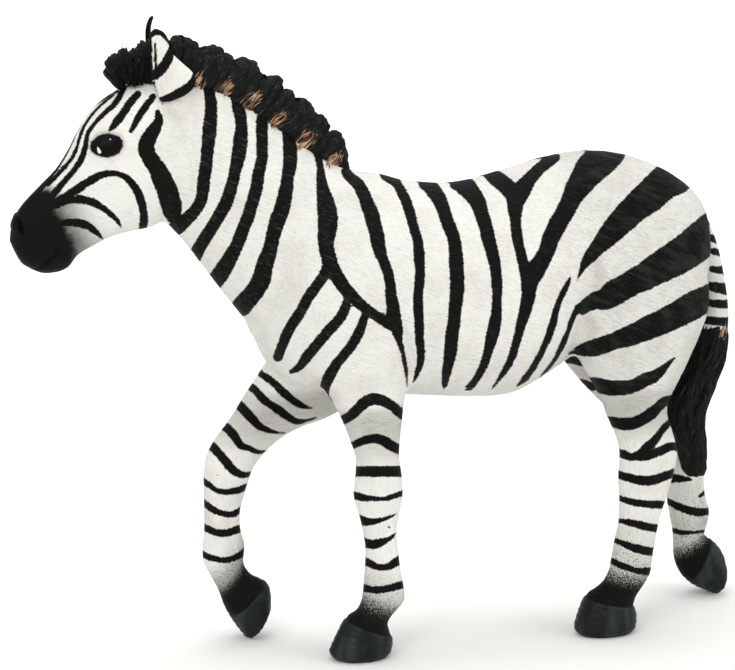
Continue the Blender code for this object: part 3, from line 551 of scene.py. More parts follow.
# Relief in the clay, on both sides of the head and the body: its height in mm,
# pressed in where negative, the width in pixels over which it fades, its line.
RELIEF = (
    (-0.40, 4.0, ((165, 110, 0), (178, 122, 0), (188, 139, 0), (194, 158, 0), (197, 182, 0),
                  (190, 202, 0), (181, 216, 0))),
    (0.30, 9.0, ((150, 128, 0), (168, 146, 0), (176, 170, 0), (172, 196, 0))),
    (0.32, 5.0, ((118, 166, 0), (100, 175, 0), (82, 189, 0))),
    (-0.28, 6.0, ((112, 186, 0), (92, 196, 0), (74, 206, 0))),
    (0.40, 4.0, ((96, 130, 0), (108, 127, 0), (120, 130, 0))),
    (-0.30, 5.0, ((127, 126, 0), (134, 138, 0))),
    (-0.22, 5.0, ((84, 150, 0), (70, 172, 0), (54, 190, 0))),
    (-0.50, 1.5, ((33, 271, 0), (42, 266, 0), (52, 259, 0), (60, 250, 0))),
    (0.22, 4.0, ((40, 256, 0), (50, 247, 0))),
    (0.45, 15.0, ((350, 190, 0), (330, 250, 0), (300, 310, 0), (287, 340, 0))),
    (-0.45, 12.0, ((322, 180, 0), (296, 246, 0), (268, 310, 0))),
    (-0.45, 3.5, ((252, 338, 0), (262, 350, 0), (270, 362, 0))),
    (0.40, 16.0, ((372, 320, 0), (368, 350, 0), (366, 380, 0))),
    (-0.55, 5.0, ((402, 326, 0), (407, 350, 0), (411, 375, 0), (413, 394, 0))),
    (-0.30, 4.0, ((300, 368, 0), (316, 384, 0), (334, 404, 0))),
    (-0.55, 7.0, ((594, 262, 0), (590, 285, 0), (586, 305, 0), (580, 335, 0), (572, 362, 0))),
    (0.45, 9.0, ((611, 268, 0), (604, 300, 0), (596, 335, 0), (590, 360, 0))),
    (0.50, 12.0, ((586, 188, 0), (596, 200, 0))),
    (-0.35, 12.0, ((560, 210, 0), (575, 240, 0))),
    (-0.40, 6.0, ((694, 236, 0), (684, 275, 0), (676, 318, 0), (664, 358, 0), (652, 392, 0))),
    (0.35, 14.0, ((640, 250, 0), (640, 300, 0), (628, 345, 0))),
    (0.25, 9.0, ((430, 384, 0), (480, 392, 0), (530, 388, 0))),
)

# Each leg: its stripes, its coronet's ends as drawn, front first, how far above
# it in mm the black of the pastern is full, mostly gone and all gone, and the
# degrees by which the black's edge leans from the coronet.
leg_paint = {
    "front_left_leg": (NEAR_FORE_STRIPES, (347, 620.5), (389, 634), (0.6, 9.3, 13), 0),
    "front_right_leg": (FAR_FORE_STRIPES, (230, 614), (263, 580), (2.6, 7.6, 11), 6.5),
    "rear_left_leg": (NEAR_HIND_STRIPES, (584, 597.5), (631, 604), (2.0, 9.8, 18), 0),
    "rear_right_leg": (FAR_HIND_STRIPES, (685, 581), (707, 541), (1.7, 8.2, 20), -31),
}


def put(mesh, name, values):
    """Keep values at a mesh's points: one or three for each, or one for all."""
    values = np.asarray(values, np.float32)
    if values.ndim == 0:
        values = np.full(len(mesh.vertices), values)
    kind, field = ("FLOAT", "value") if values.ndim == 1 else ("FLOAT_VECTOR", "vector")
    mesh.attributes.new(name, kind, "POINT").data.foreach_set(field, values.ravel())


# A leg's own skin starts this far out from the middle plane, in mm; above the
# height of its root, a far leg's starts elsewhere.
LEG_INNER = 2.0
FAR_LEG_INNER = {"front_right_leg": 1.0, "rear_right_leg": -2.0}
LEG_ROOT = 42


def leg_zone(points, name):
    """How far in mm a point lies outside a leg's own part of the skin."""
    high = FAR_LEG_INNER.get(name, LEG_INNER)
    inner = np.where(points[:, 2] > LEG_ROOT, high, LEG_INNER)
    side = np.maximum(0, inner - points[:, 1] * np.sign(legs[name][1]))
    if name == "front_right_leg":
        over = np.maximum(points[:, 2] - 53 - 0.35 * (points[:, 0] + 20), points[:, 0] + 3)
    elif name == "rear_right_leg":
        top = np.where(points[:, 1] < 9.5, 57, 44.5)
        over = np.maximum(points[:, 2] - top, 82 - top - points[:, 0])
    elif name == "front_left_leg":
        over = np.maximum(points[:, 2] - 51, points[:, 0] - 10)
    else:
        over = np.maximum(points[:, 2] - 47, 25 - points[:, 0])
    return np.maximum(side, np.maximum(over, 0))


def below_coronet(points, name, lean=0.0):
    """How far in mm points lie below the top of a leg's hoof, or below a line
    that leans from it through its middle."""
    front, rear = leg_paint[name][1:3]
    ends = lifted((front, rear), np.full(2, legs[name][1]))[:, (0, 2)]
    slope = atan2(*(ends[1] - ends[0])[::-1]) + radians(lean)
    return (points[:, (0, 2)] - ends.mean(0)) @ (sin(slope), -cos(slope))


def nearside(points):
    """Points with the right side folded onto the left one."""
    return np.stack((points[:, 0], -np.abs(points[:, 1]), points[:, 2]), axis=1)


def comb(points):
    """Coordinates in mm along the lie of the hair, across it and sideways."""
    slope = radians(24)
    leg = ease(-2, 10, 46 - points[:, 2])
    x, y, z = points.T
    along = (x * cos(slope) - z * sin(slope)) * (1 - leg) - z * leg
    across = (x * sin(slope) + z * cos(slope)) * (1 - leg) + x * leg
    return np.stack((along, across, y), axis=1)


def grain(points, long, wide):
    """Strokes of hair, long and narrow, between -1 and 1."""
    combed = comb(points) * (1 / long, 1 / wide, 1 / wide)
    return np.array([noise.noise(Vector(spot)) for spot in combed.tolist()])


def roughness(points):
    """How coarse the hair is: fine on the face, coarsest on the thighs."""
    x, _, z = points.T
    rough = 0.35 + 0.45 * ease(-52, -40, x) + 0.75 * ease(22, 36, x)
    return rough * (0.55 + 0.45 * ease(36, 48, z))


def bell(distance, width):
    """1 inside a stroke, fading to 0 outside it."""
    return np.exp(-((np.maximum(distance, 0) / width) ** 2))


# Forms on the skin: their heights and depths in mm.
EYE_BULGE = 0.65
EYE_GROOVE = 0.30
EYELID = 0.28
NOSTRIL_DEPTH = 0.95
NOSTRIL_RIM = 0.28
HOOF_LEDGE = 0.20
HOOF_RING = 0.035
CORONET_ROLL = 0.12
# Strands of the body's hair: length, width and height in mm, coarse on the torso
# and fine elsewhere, where an undercoat is added by its share of that height.
COARSE_HAIR = (3.0, 0.95, 0.075)
FINE_HAIR = (3.0, 0.62, 0.085)
UNDERCOAT = (1.4, 0.4, 0.5)
# Hooves and pasterns lie below these heights in mm.
HOOF_TOP = 16
PASTERN_TOP = 24


def model_body(mesh, coarse):
    """Press and raise the relief, the eyes, the hooves and the hair in the clay."""
    points, normal = places(mesh), outward(mesh)
    folded = drawn(nearside(points))
    side = np.where(points[:, 1] > 0, -1, 1)
    mirror = np.stack((np.ones_like(side), side, np.ones_like(side)), axis=1)
    facing = ease(-0.05, 0.35, (normal * mirror) @ view_back)
    outside = np.min([leg_zone(points, name) for name in legs], axis=0)
    height = np.zeros(len(points))
    for lift, width, line in RELIEF:
        height += lift * bell(edge_distance(folded, (line,)), width)
    height *= ease(0, 4, outside)
    eye = edge_distance(folded, EYE)
    height += EYE_BULGE * np.sqrt((-eye / 11).clip(0, 1))
    height -= EYE_GROOVE * np.exp(-((eye / 1.1) ** 2))
    height += EYELID * np.exp(-(((eye - 2.7) / 1.5) ** 2))
    nostril = edge_distance(folded, NOSTRIL)
    height -= NOSTRIL_DEPTH * (1 - ease(-2.6, 0.6, nostril))
    height += NOSTRIL_RIM * np.exp(-(((nostril - 2.2) / 1.4) ** 2))
    height *= facing
    in_hoof = np.zeros(len(points))
    for name in legs:
        inside = (leg_zone(points, name) <= 0) & (points[:, 2] < HOOF_TOP)
        below = np.where(inside, below_coronet(points, name), -20)
        height += HOOF_LEDGE * ease(-0.05, 0.30, below)
        height += CORONET_ROLL * np.exp(-(((below + 0.9) / 0.6) ** 2))
        height += HOOF_RING * np.sin(below * 5.2) * ease(0.4, 1.0, below)
        in_hoof = np.maximum(in_hoof, ease(-0.8, 0.1, below))
    long, wide, tall = COARSE_HAIR if coarse else FINE_HAIR
    hair = grain(points, long, wide)
    if not coarse:
        hair = hair + UNDERCOAT[2] * grain(points + 40, *UNDERCOAT[:2])
    calm = (1 - in_hoof) * (1 - 0.8 * bell(eye, 3)) * ease(0, 3, points[:, 0] + 68)
    height += tall * hair * calm * roughness(points)
    points = points + normal * height[:, None]
    points[:, 2] = points[:, 2].clip(0)
    place(mesh, points)


def paint_body(mesh):
    """Work out the paint at each point of the body."""
    points, normal = places(mesh), outward(mesh)
    folded, straight = drawn(nearside(points)), drawn(points)
    body = edge_distance(folded, NECK_AND_BARREL + RUMP_AND_THIGH)
    thigh = edge_distance(folded, FAR_THIGH)
    body = np.where(points[:, 1] > 0, np.minimum(body, thigh), body)
    under = ease(0.75, 0.99, -normal[:, 2]) * ease(0, 8, points[:, 2] - 38)
    body = body + under * ease(-34, -26, points[:, 0]) * 14
    eye = edge_distance(folded, EYE)
    stripe = np.minimum(np.minimum(body, edge_distance(folded, FACE_STRIPES)), eye)
    soot = np.zeros(len(points))
    hoof = np.full(len(points), INSIDE)
    spray = edge_distance(folded, MUZZLE, 50) * (2.4 - 1.68 * ease(186, 203, folded[:, 1]))
    for name, (strokes, _, _, (full, most, end), lean) in leg_paint.items():
        outside = leg_zone(points, name)
        inside = (outside <= 0) & (points[:, 2] < PASTERN_TOP)
        in_hoof = inside & (points[:, 2] < HOOF_TOP)
        hoof = np.where(in_hoof, below_coronet(points, name), hoof)
        below = below_coronet(points, name, lean)
        dust = 1 - ease(full, most, -below)
        dust = np.maximum(dust, FAINT_DUST * (1 - ease(full + 4, end, -below)))
        soot = np.where(inside, np.maximum(soot, dust), soot)
        if name.endswith("right_leg"):
            stripe = np.where(outside <= 0, 20, stripe)
        if name == "front_right_leg":
            spray = np.where(inside, (-below - PASTERN_SPRAY) * PER_MM * 1.3, spray)
        stripe = np.minimum(stripe, edge_distance(straight, strokes) + outside * 6)
    x, _, z = points.T
    # How much the black shows lighter hair strokes: painted sheen, strongest high on the neck and
    # rump, together with wear.
    wear_and_sheen = 0.35 + 0.65 * ease(-46, -40, x) * (1 - ease(-16, -2, x)) + 0.25 * ease(22, 34, x)
    put(mesh, "wear_and_sheen", wear_and_sheen * ease(-50, -43, x) * (0.15 + 0.85 * ease(40, 50, z)))
    put(mesh, "rough", roughness(points))
    put(mesh, "stripe", stripe)
    put(mesh, "soot", soot)
    put(mesh, "haze", (soot * np.where(points[:, 0] < 20, 1.25, 0.9)).clip(0, 1))
    put(mesh, "spray", spray)
    put(mesh, "hoof", hoof)
    put(mesh, "eye", eye)
    put(mesh, "glint", edge_distance(folded, EYE_GLINTS))
    put(mesh, "nostril", edge_distance(folded, NOSTRIL))
    put(mesh, "crease_shadow", edge_distance(folded, CREASE_SHADOWS))
    put(mesh, "fleck", edge_distance(straight, FLECKS))
    put(mesh, "tan", edge_distance(folded, TAN_ROOTS))
    put(mesh, "comb", comb(points))


class Wire:
    """A node's output, with the sums that shaders need."""

    def __init__(self, tree, socket):
        self.tree = tree
        self.socket = socket

    def node(self, kind, settings=(), **values):
        """Add a node with its settings and inputs, and give its first output."""
        made = self.tree.nodes.new(kind)
        for name, value in dict(settings).items():
            setattr(made, name, value)
        for name, value in values.items():
            name = name.replace("_", " ")
            socket = made.inputs[int(name[1:])] if name[1:].isdigit() else made.inputs[name]
            if isinstance(value, Wire):
                self.tree.links.new(value.socket, socket)
            else:
                socket.default_value = value
        return Wire(self.tree, made.outputs[0])

    def other(self, name):
        """Another output of the node that this wire comes from."""
        return Wire(self.tree, self.socket.node.outputs[name])

    def math(self, operation, first, second):
        return self.node("ShaderNodeMath", {"operation": operation}, i0=first, i1=second)

    def __add__(self, other):
        return self.math("ADD", self, other)

    def __radd__(self, other):
        return self.math("ADD", other, self)

    def __sub__(self, other):
        return self.math("SUBTRACT", self, other)

    def __rsub__(self, other):
        return self.math("SUBTRACT", other, self)

    def __mul__(self, other):
        return self.math("MULTIPLY", self, other)

    def __rmul__(self, other):
        return self.math("MULTIPLY", other, self)

    def most(self, other):
        return self.math("MAXIMUM", self, other)

    def step(self, low, high):
        """Rises smoothly from 0 at low to 1 at high."""
        return self.node(
            "ShaderNodeMapRange", {"interpolation_type": "SMOOTHSTEP"},
            Value=self, From_Min=low, From_Max=high,
        )

    def noise(self, scale, detail=2.0, roughness=0.5):
        """Even noise from 0 to 1 over the figure, in grains per metre."""
        where = self.node("ShaderNodeTexCoord").other("Object")
        return self.node(
            "ShaderNodeTexNoise", Vector=where, Scale=scale, Detail=detail, Roughness=roughness
        )

    def hairs(self, long, wide, detail=2.0):
        """Noise from 0 to 1 in strokes along the comb's lie, sized in mm."""
        where = self.node(
            "ShaderNodeVectorMath", {"operation": "MULTIPLY"},
            i0=self.kept("comb", "Vector"), i1=(1 / long, 1 / wide, 1 / wide),
        )
        return self.node("ShaderNodeTexNoise", Vector=where, Scale=1.0, Detail=detail)

    def blend(self, factor, first, second):
        """A colour mixed from two by a factor."""
        mix = self.node("ShaderNodeMix", {"data_type": "RGBA"}, i0=factor, i6=first, i7=second)
        return mix.other(2)

    def kept(self, name, output="Fac"):
        """A value kept at the mesh's points."""
        return self.node("ShaderNodeAttribute", {"attribute_name": name}).other(output)


def finish_named(name):
    """A material, its shader and a wire to start from."""
    material = bpy.data.materials.new(name)
    material.use_nodes = True
    tree = material.node_tree
    shader = tree.nodes["Principled BSDF"]
    return material, shader, Wire(tree, None)


def feed(wire, shader, name):
    """Link a wire to a shader's input."""
    wire.tree.links.new(wire.socket, shader.inputs[name])


def tint(red, green, blue):
    """A paint colour as a lamp shows it, from its screen values."""
    def linear(value):
        value = value / 255
        return value / 12.92 if value <= 0.04045 else ((value + 0.055) / 1.055) ** 2.4
    return linear(red), linear(green), linear(blue), 1.0


WHITE = tint(238, 237, 230)
SHADED_WHITE = tint(227, 225, 217)
HAIR_SHADE = tint(200, 197, 188)
SPRAYED = tint(92, 90, 84)
BLACK = tint(9, 9, 8)
SHEEN_WORN_BLACK = tint(70, 76, 69)
HOOF = tint(6, 13, 13)
HOOF_SHEEN = tint(44, 57, 56)
TAN = tint(196, 148, 116)
BROWN = tint(104, 60, 40)
NOSTRIL_RED = tint(13, 7, 6)
CREASE_SHADOW_BROWN = tint(196, 184, 174)
MUZZLE_HAZE = tint(30, 30, 28)
HOOF_SHEEN_STREAK = tint(46, 57, 58)
THIN_SHEEN_BLACK = tint(46, 51, 46)
EYE_BLACK = tint(3, 3, 3)
FLECK_GREY = tint(88, 84, 76)
HIDE_BUMP = 0.0006

hide, hide_shader, at = finish_named("painted_hide")
ragged = (at.noise(700, 3, 0.6) - 0.5) * 2.0 + (at.hairs(0.9, 0.22) - 0.5) * 3.0
brushed = 1 - (at.kept("stripe") + ragged).step(-0.5, 0.7)
soot = at.kept("soot")
speckle = (at.noise(4400, 3, 0.7) - 0.5) * 3.6 + 0.55
dusted = (soot - speckle).step(-0.12, 0.18) * soot.step(0.02, 0.08)
dusted = dusted.most(soot.step(0.72, 0.98))
spray = 1 - (at.kept("spray") + (at.noise(900, 3) - 0.5) * 6).step(-4.0, 36.0)
spray_full = spray.step(0.80, 0.97)
hoof = at.kept("hoof").step(-0.15, 0.15)
dark = brushed.most(dusted).most(spray_full).most(hoof)
white = at.blend(at.noise(160, 3).step(0.40, 0.75), WHITE, SHADED_WHITE)
white = at.blend(at.hairs(1.4, 0.30, 3.0).step(0.50, 0.80) * 0.45, white, HAIR_SHADE)
# Painted shade: the warm crease shadows tint the white.
white = at.blend((1 - at.kept("crease_shadow").step(-3, 6)) * 0.35, white, CREASE_SHADOW_BROWN)
white = at.blend(at.kept("haze"), white, SPRAYED)
white = at.blend(spray, white, MUZZLE_HAZE)
tanned = 1 - (at.kept("tan") + (at.hairs(0.24, 1.6) - 0.5) * 16).step(-3.5, -1.0)
white = at.blend(tanned, white, at.blend(at.hairs(0.3, 1.6).step(0.4, 0.6), TAN, BROWN))
# Painted sheen with wear: lighter hair strokes on the black.
wear_and_sheen = at.hairs(2.6, 0.34, 3.0).step(0.50, 0.78) * at.kept("wear_and_sheen") * 0.55
black = at.blend(wear_and_sheen, BLACK, SHEEN_WORN_BLACK)
# The hooves: dark horn with painted sheen in soft patches and in streaks running down them.
horn = at.blend(at.noise(420, 3).step(0.45, 0.85) * 0.5, HOOF, HOOF_SHEEN)
horn = at.blend(at.hairs(14, 3.0, 1.0).step(0.50, 0.74) * 0.65, horn, HOOF_SHEEN_STREAK)
# Painted sheen with thin paint: long lighter strokes on the black, high on the thighs and rump.
thin_and_sheen = at.hairs(7, 1.8, 3.0).step(0.44, 0.72) * at.kept("rough").step(0.9, 1.6)
black = at.blend(thin_and_sheen * 0.7, black, THIN_SHEEN_BLACK)
black = at.blend(hoof, black, horn)
black = at.blend(1 - at.kept("nostril").step(-2.5, 0.5), black, NOSTRIL_RED)
eye = 1 - at.kept("eye").step(-1.2, -0.2)
black = at.blend(eye, black, EYE_BLACK)
colour = at.blend(dark, white, black)
colour = at.blend(1 - at.kept("fleck").step(-0.4, 0.5), colour, FLECK_GREY)
colour = at.blend(1 - at.kept("glint").step(-0.3, 0.4), colour, WHITE)
feed(colour, hide_shader, "Base Color")
feed(0.62 - dark * 0.08, hide_shader, "Roughness")
feed(hoof * 0.30 + eye * 0.06, hide_shader, "Coat Weight")
hide_shader.inputs["Coat Roughness"].default_value = 0.34
hide_shader.inputs["Specular IOR Level"].default_value = 0.09
relief = at.hairs(1.4, 0.36, 3.0) * (1 - hoof * 0.8) * (1 - eye) * at.kept("rough")
bump = at.node("ShaderNodeBump", Height=relief, Strength=1.0, Distance=HIDE_BUMP)
feed(bump, hide_shader, "Normal")


def seam_plane(name):
    """Where a leg parts from the torso, and the way into the torso."""
    rows, y, _ = legs[name]
    ends = [
        np.array(((rows[r][0] + rows[r][2]) / 2 + MASTER_X, y, (rows[r][1] + rows[r][3]) / 2))
        for r in SEAM_ROWS
    ]
    inward = ends[0] - ends[1]
    return (ends[0] + ends[1]) / 2, inward / np.linalg.norm(inward)


# The neck's seam: its middle in mm and the way into the head. Then how far in mm
# the cuts reach from the middles of their seams.
NECK_SEAM = ((-17.6, 0, 75.0), (-cos(radians(41)), 0, sin(radians(41))))
LEG_CUT = 13.0
NECK_CUT = 40.0


def part_master(thing):
    """Cut the master along its seams into loose shells, each its own object."""
    shape = bmesh.new()
    shape.from_mesh(thing.data)
    cuts = [(*seam_plane(name), LEG_CUT) for name in legs]
    cuts.append((*np.array(NECK_SEAM), NECK_CUT))
    parted = set()
    for middle, normal, reach in cuts:
        centre = Vector((middle * MM).tolist())
        geometry = set()
        for face in shape.faces:
            if (face.calc_center_median() - centre).length < reach * MM:
                geometry.update((face, *face.edges, *face.verts))
        made = bmesh.ops.bisect_plane(
            shape, geom=list(geometry), dist=1e-7, plane_co=centre,
            plane_no=Vector(normal.tolist()),
        )
        parted.update(e for e in made["geom_cut"] if isinstance(e, bmesh.types.BMEdge))
    bmesh.ops.split_edges(shape, edges=list(parted))
    shape.to_mesh(thing.data)
    shape.free()
    bpy.ops.object.select_all(action="DESELECT")
    bpy.context.view_layer.objects.active = thing
    thing.select_set(True)
    bpy.ops.object.mode_set(mode="EDIT")
    bpy.ops.mesh.separate(type="LOOSE")
    bpy.ops.object.mode_set(mode="OBJECT")
    return list(bpy.context.selected_objects)


def piece_name(middle):
    """Which piece a shell is, from the middle of its points in mm: the legs lie
    low, and the head with the neck lies in front of the torso."""
    x, y, z = middle
    if z < 42:
        return ("front" if x < 15 else "rear") + ("_left_leg" if y < 0 else "_right_leg")
    return "head_neck" if x < -20 else "torso"


def cap(mesh):
    """Close a shell where it was cut."""
    shape = bmesh.new()
    shape.from_mesh(mesh)
    edges = [edge for edge in shape.edges if edge.is_boundary]
    for face in bmesh.ops.holes_fill(shape, edges=edges, sides=0)["faces"]:
        face.smooth = False
        for edge in face.edges:
            edge.smooth = False
    shape.to_mesh(mesh)
    shape.free()


def keep(mesh, name, node, material):
    """Put a piece in the place of its node."""
    mesh.materials.clear()
    mesh.materials.append(material)
    piece = thing_of(mesh, name)
    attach(piece, "root")
    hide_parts(node)


for shell in part_master(master):
    name = piece_name(places(shell.data).mean(0))
    if name != "torso":
        finer = shell.modifiers.new("Finer clay", "SUBSURF")
        finer.levels = 1
        settle(shell)
    mesh = shell.data
    shade_smooth(mesh)
    model_body(mesh, name == "torso")
    paint_body(mesh)
    cap(mesh)
    bpy.data.objects.remove(shell)
    keep(mesh, name + "_moulding", name, hide)

# Mane: the upright brush on the crest of the neck, one hard plastic moulding
# with its tufts carved in it, glued along the crest. It is painted black, with
# tan dry-brushed between the neck's stripes at its roots.
CHANCES = 997
HAIR_STRAND = 0.30
HAIR_LOCK = 1.9
STRAND_DEPTH = 0.12
LOCK_DEPTH = 0.20
CLEFT_DEPTH = 0.45
CLEFT_WIDTH = 2.6
RUSSET = tint(138, 78, 54)
PALE_TAN = tint(214, 174, 140)
HAIR_BLACK = tint(4, 4, 4)
HAIR_SHEEN = tint(64, 69, 63)
HAIR_BUMP = 0.0004
# Sections of the mane as drawn, from the poll to the withers: its upper edge,
# its root on the near side, both in pixels, and half its width in mm.
MANE = (
    (150, 41, 150, 83, 2.6), (156, 36.5, 155, 84.5, 2.8), (162, 35, 160, 85.5, 2.9),
    (168, 38.2, 166, 86, 3.0), (173.7, 38.2, 169.5, 86, 3.1), (179, 36.2, 173, 86, 3.1),
    (184.9, 35.4, 177, 86, 3.2), (191.2, 39.6, 181.5, 86, 3.2), (198.9, 44.6, 187, 86, 3.2),
    (205.9, 47.4, 192, 86, 3.3), (213, 46.4, 197.5, 86.7, 3.3), (220, 48.1, 202.5, 88, 3.3),
    (227, 53.7, 208, 89.5, 3.3), (235.4, 58.6, 214, 91.4, 3.3), (243.1, 57.6, 220, 93.7, 3.3),
    (252.3, 60.7, 228, 97, 3.3), (259.3, 64.9, 233.5, 100, 3.3), (263.5, 73, 239.5, 104.5, 3.3),
    (270.5, 76.1, 245.5, 108, 3.3), (278.9, 78.9, 255, 112.3, 3.3), (284.2, 87.5, 261, 117, 3.3),
    (292.2, 90.9, 268, 122.3, 3.3), (295.7, 97.4, 274, 126, 3.3), (302.8, 99.3, 280, 129, 3.3),
    (311.2, 104.2, 288, 136, 3.2), (316.8, 112.2, 294, 141.5, 3.2), (321, 114, 298.5, 145, 3.1),
    (326.6, 118.2, 304, 149, 3.0), (329.2, 124.5, 309, 152.5, 2.9), (329.6, 130.6, 315, 156, 2.8),
    (335.7, 131.6, 320, 159, 2.6), (342, 137.9, 325.5, 162, 2.4), (345.5, 144.9, 331, 166, 2.1),
    (346.2, 154.7, 336, 169.5, 1.8), (347, 164, 340.5, 172, 1.4), (348, 171, 344, 174.5, 0.9),
)
# Where clefts part its tufts, across the drawing in pixels.
MANE_CLEFTS = (170, 201, 235, 263.5, 284.5, 296.5, 317.5, 330)


def ridges(run, width, dice):
    """Rounded strands side by side, 0 to 1, and a chance number for each."""
    count = (run / width).astype(int)
    across = run / width - count
    return 1 - np.abs(2 * across - 1) ** 2.2, dice[count % len(dice)]


def brush(name, rows, clefts, seed, wear_and_sheen, steps=20, turn=72):
    """A ridge of carved hair over drawn sections, as a mesh."""
    fine = through(rows, steps)
    half = fine[:, 4]
    tops, roots = lifted(fine[:, :2], 0.0), lifted(fine[:, 2:4], -half)
    angle = pi * np.arange(turn) / (turn - 1)
    rise = np.sin(angle).clip(0) ** 0.75
    side = -np.sign(np.cos(angle)) * np.abs(np.cos(angle)) ** 0.75
    points = roots[:, None] + (tops - roots)[:, None] * rise[None, :, None]
    points[:, :, 1] = half[:, None] * side * (0.84 + 0.24 * ease(0, 0.45, rise))
    middle = (tops + roots) / 2
    run = np.linalg.norm(np.diff(middle, axis=0, prepend=middle[:1]), axis=1).cumsum()
    dice = np.random.RandomState(seed).rand(CHANCES)
    # The locks wave on their way up, and the strands lean with them.
    run = run[:, None] + 20 + 0.45 * side
    wave = 0.22 * np.sin(4.3 * rise + 1.1 * run) + 0.10 * np.sin(11 * rise + 2.9 * run + 2 * side)
    lock, lock_chance = ridges(run + wave, HAIR_LOCK, dice[::-1])
    lean = wave + 1.1 * (lock_chance - 0.5) * rise
    strand, chance = ridges(run + lean, HAIR_STRAND, dice)
    # Carve them, and leave the tips and the roots uneven.
    cleft = np.abs(fine[:, :1] - np.array(clefts)).min(1)[:, None] / CLEFT_WIDTH
    shape = STRAND_DEPTH * (strand - 0.6) + LOCK_DEPTH * (lock - 0.6) + 0.16 * (chance - 0.5)
    shape = shape + 0.10 * (lock_chance - 0.5)
    shape = shape - CLEFT_DEPTH * np.exp(-cleft ** 2) * ease(0.1, 0.6, rise)
    lift = (0.6 * (chance - 0.5) + 0.4 * (lock_chance - 0.5)) * ease(0.72, 1.0, rise)
    lift = lift + 0.8 * (chance - 0.6) * (1 - ease(0, 0.25, rise))
    up = (tops - roots) / np.linalg.norm(tops - roots, axis=1)[:, None]
    points = points + up[:, None] * lift[:, :, None]
    mesh = mesh_of(name, points.reshape(-1, 3), skin_faces(len(fine), turn))
    out = outward(mesh).reshape(points.shape)
    points = (points + out * shape[:, :, None]).reshape(-1, 3)
    place(mesh, points)
    long = np.linalg.norm(tops - roots, axis=1)[:, None] * rise
    groove = 0.6 * strand + 0.4 * lock
    paint_hair(mesh, wear_and_sheen, chance, groove, (long, run + lean, 3 * side + 0 * run))
    put(mesh, "tan", edge_distance(drawn(nearside(points)), TAN_ROOTS))
    put(mesh, "stripe", INSIDE)
    return mesh


def paint_hair(mesh, wear_and_sheen, chance, groove, combed):
    """Keep the paint's wear and painted sheen, and each strand's chance number, depth and lie."""
    put(mesh, "wear_and_sheen", wear_and_sheen)
    put(mesh, "strand", chance.ravel())
    put(mesh, "groove", groove.ravel())
    put(mesh, "comb", np.stack([part.ravel() for part in combed], axis=1))
    shade_smooth(mesh)


hair, hair_shader, at = finish_named("painted_hair")
streak = at.kept("strand")
groove = at.kept("groove").step(0.1, 0.9)
wisp = at.hairs(2.6, 0.24, 3.0)
# Painted sheen with wear: the hair's black is lighter on the strands' ridges and in wisps.
wear_and_sheen = (groove * 0.15 + wisp.step(0.52, 0.74) * 0.85) * at.kept("wear_and_sheen")
black = at.blend(wear_and_sheen, HAIR_BLACK, HAIR_SHEEN)
line = at.hairs(2.4, 0.15, 1.0)
tan = at.blend((at.noise(260, 1) + line * 0.8).step(0.76, 1.02), RUSSET, PALE_TAN)
tanned = 1 - (at.kept("tan") + (streak - 0.5) * 9 + (wisp - 0.5) * 9).step(-0.5, 1.5)
tanned = tanned * (line + (streak - 0.5) * 0.16).step(0.43, 0.54)
hair_dark = 1 - (at.kept("stripe") + (at.noise(900, 3) - 0.5) * 3).step(-0.6, 0.9)
colour = at.blend(tanned, black, tan)
colour = at.blend(hair_dark, WHITE, colour)
feed(colour, hair_shader, "Base Color")
feed(0.58 - groove * 0.12, hair_shader, "Roughness")
hair_shader.inputs["Specular IOR Level"].default_value = 0.10
fine_hair = at.node("ShaderNodeBump", Height=wisp, Strength=1.0, Distance=HAIR_BUMP)
feed(fine_hair, hair_shader, "Normal")

keep(brush("mane_brush", MANE, MANE_CLEFTS, 5, 1.0), "mane_brush", "mane", hair)

# Forelock: the tuft between the ears, a small moulding of the same plastic as
# the mane, carved and painted like it and glued on the poll. It curls over the
# forehead.
FORELOCK = (
    (153, 39.2, 152, 83, 2.6), (146.4, 41.1, 146, 84, 2.9), (142, 42.2, 142.5, 84.5, 3.1),
    (138.8, 43.6, 139.5, 85, 3.2), (136, 46.8, 137.5, 85, 3.2), (129.5, 47.2, 135, 85, 3.2),
    (125.4, 47.5, 133, 85, 3.2), (119.6, 50.1, 131, 84.8, 3.1), (117, 54, 130, 84.6, 3.0),
    (112, 56.5, 129, 84.4, 2.9), (110, 58.4, 128.5, 84.2, 2.8), (107.5, 62, 128, 84, 2.7),
    (106.2, 65, 127.5, 84, 2.6), (106.6, 68.5, 127, 84, 2.5), (105.8, 72.7, 126.5, 84, 2.4),
    (107, 78, 126, 84.5, 2.2), (110, 82.3, 125.8, 85, 2.0), (113, 86, 125.5, 85.6, 1.7),
    (115.8, 88, 125.3, 86.2, 1.4), (119, 89.3, 125, 86.8, 1.1), (122.5, 89.5, 124.8, 87.4, 0.8),
)
FORELOCK_CLEFTS = (129,)
forelock = brush("forelock_tuft", FORELOCK, FORELOCK_CLEFTS, 11, 0.4)
keep(forelock, "forelock_tuft", "forelock", hair)

# Ears: two cupped leaves of the same plastic as the head, each glued by a small
# peg behind the poll. The left one is turned back and the right one forwards.
# Sections from the foot to the tip in mm: height, front edge, rear edge, bow.
EAR = (
    (0.0, 0.5, 2.4, 0.6), (0.7, 0.2, 4.4, 1.0), (1.6, 0, 5.8, 1.5), (2.7, -0.4, 6.7, 1.8),
    (3.9, -0.85, 6.85, 2.0), (5.0, -1.05, 6.4, 1.9), (6.7, -1.1, 4.7, 1.6),
    (8.3, -1.15, 3.15, 1.25), (9.9, -1.1, 2.35, 0.85), (11.4, -0.95, 2.0, 0.55),
    (12.4, -0.65, 1.5, 0.35), (13.0, -0.1, 0.4, 0.1),
)
EAR_SKIN = 0.8
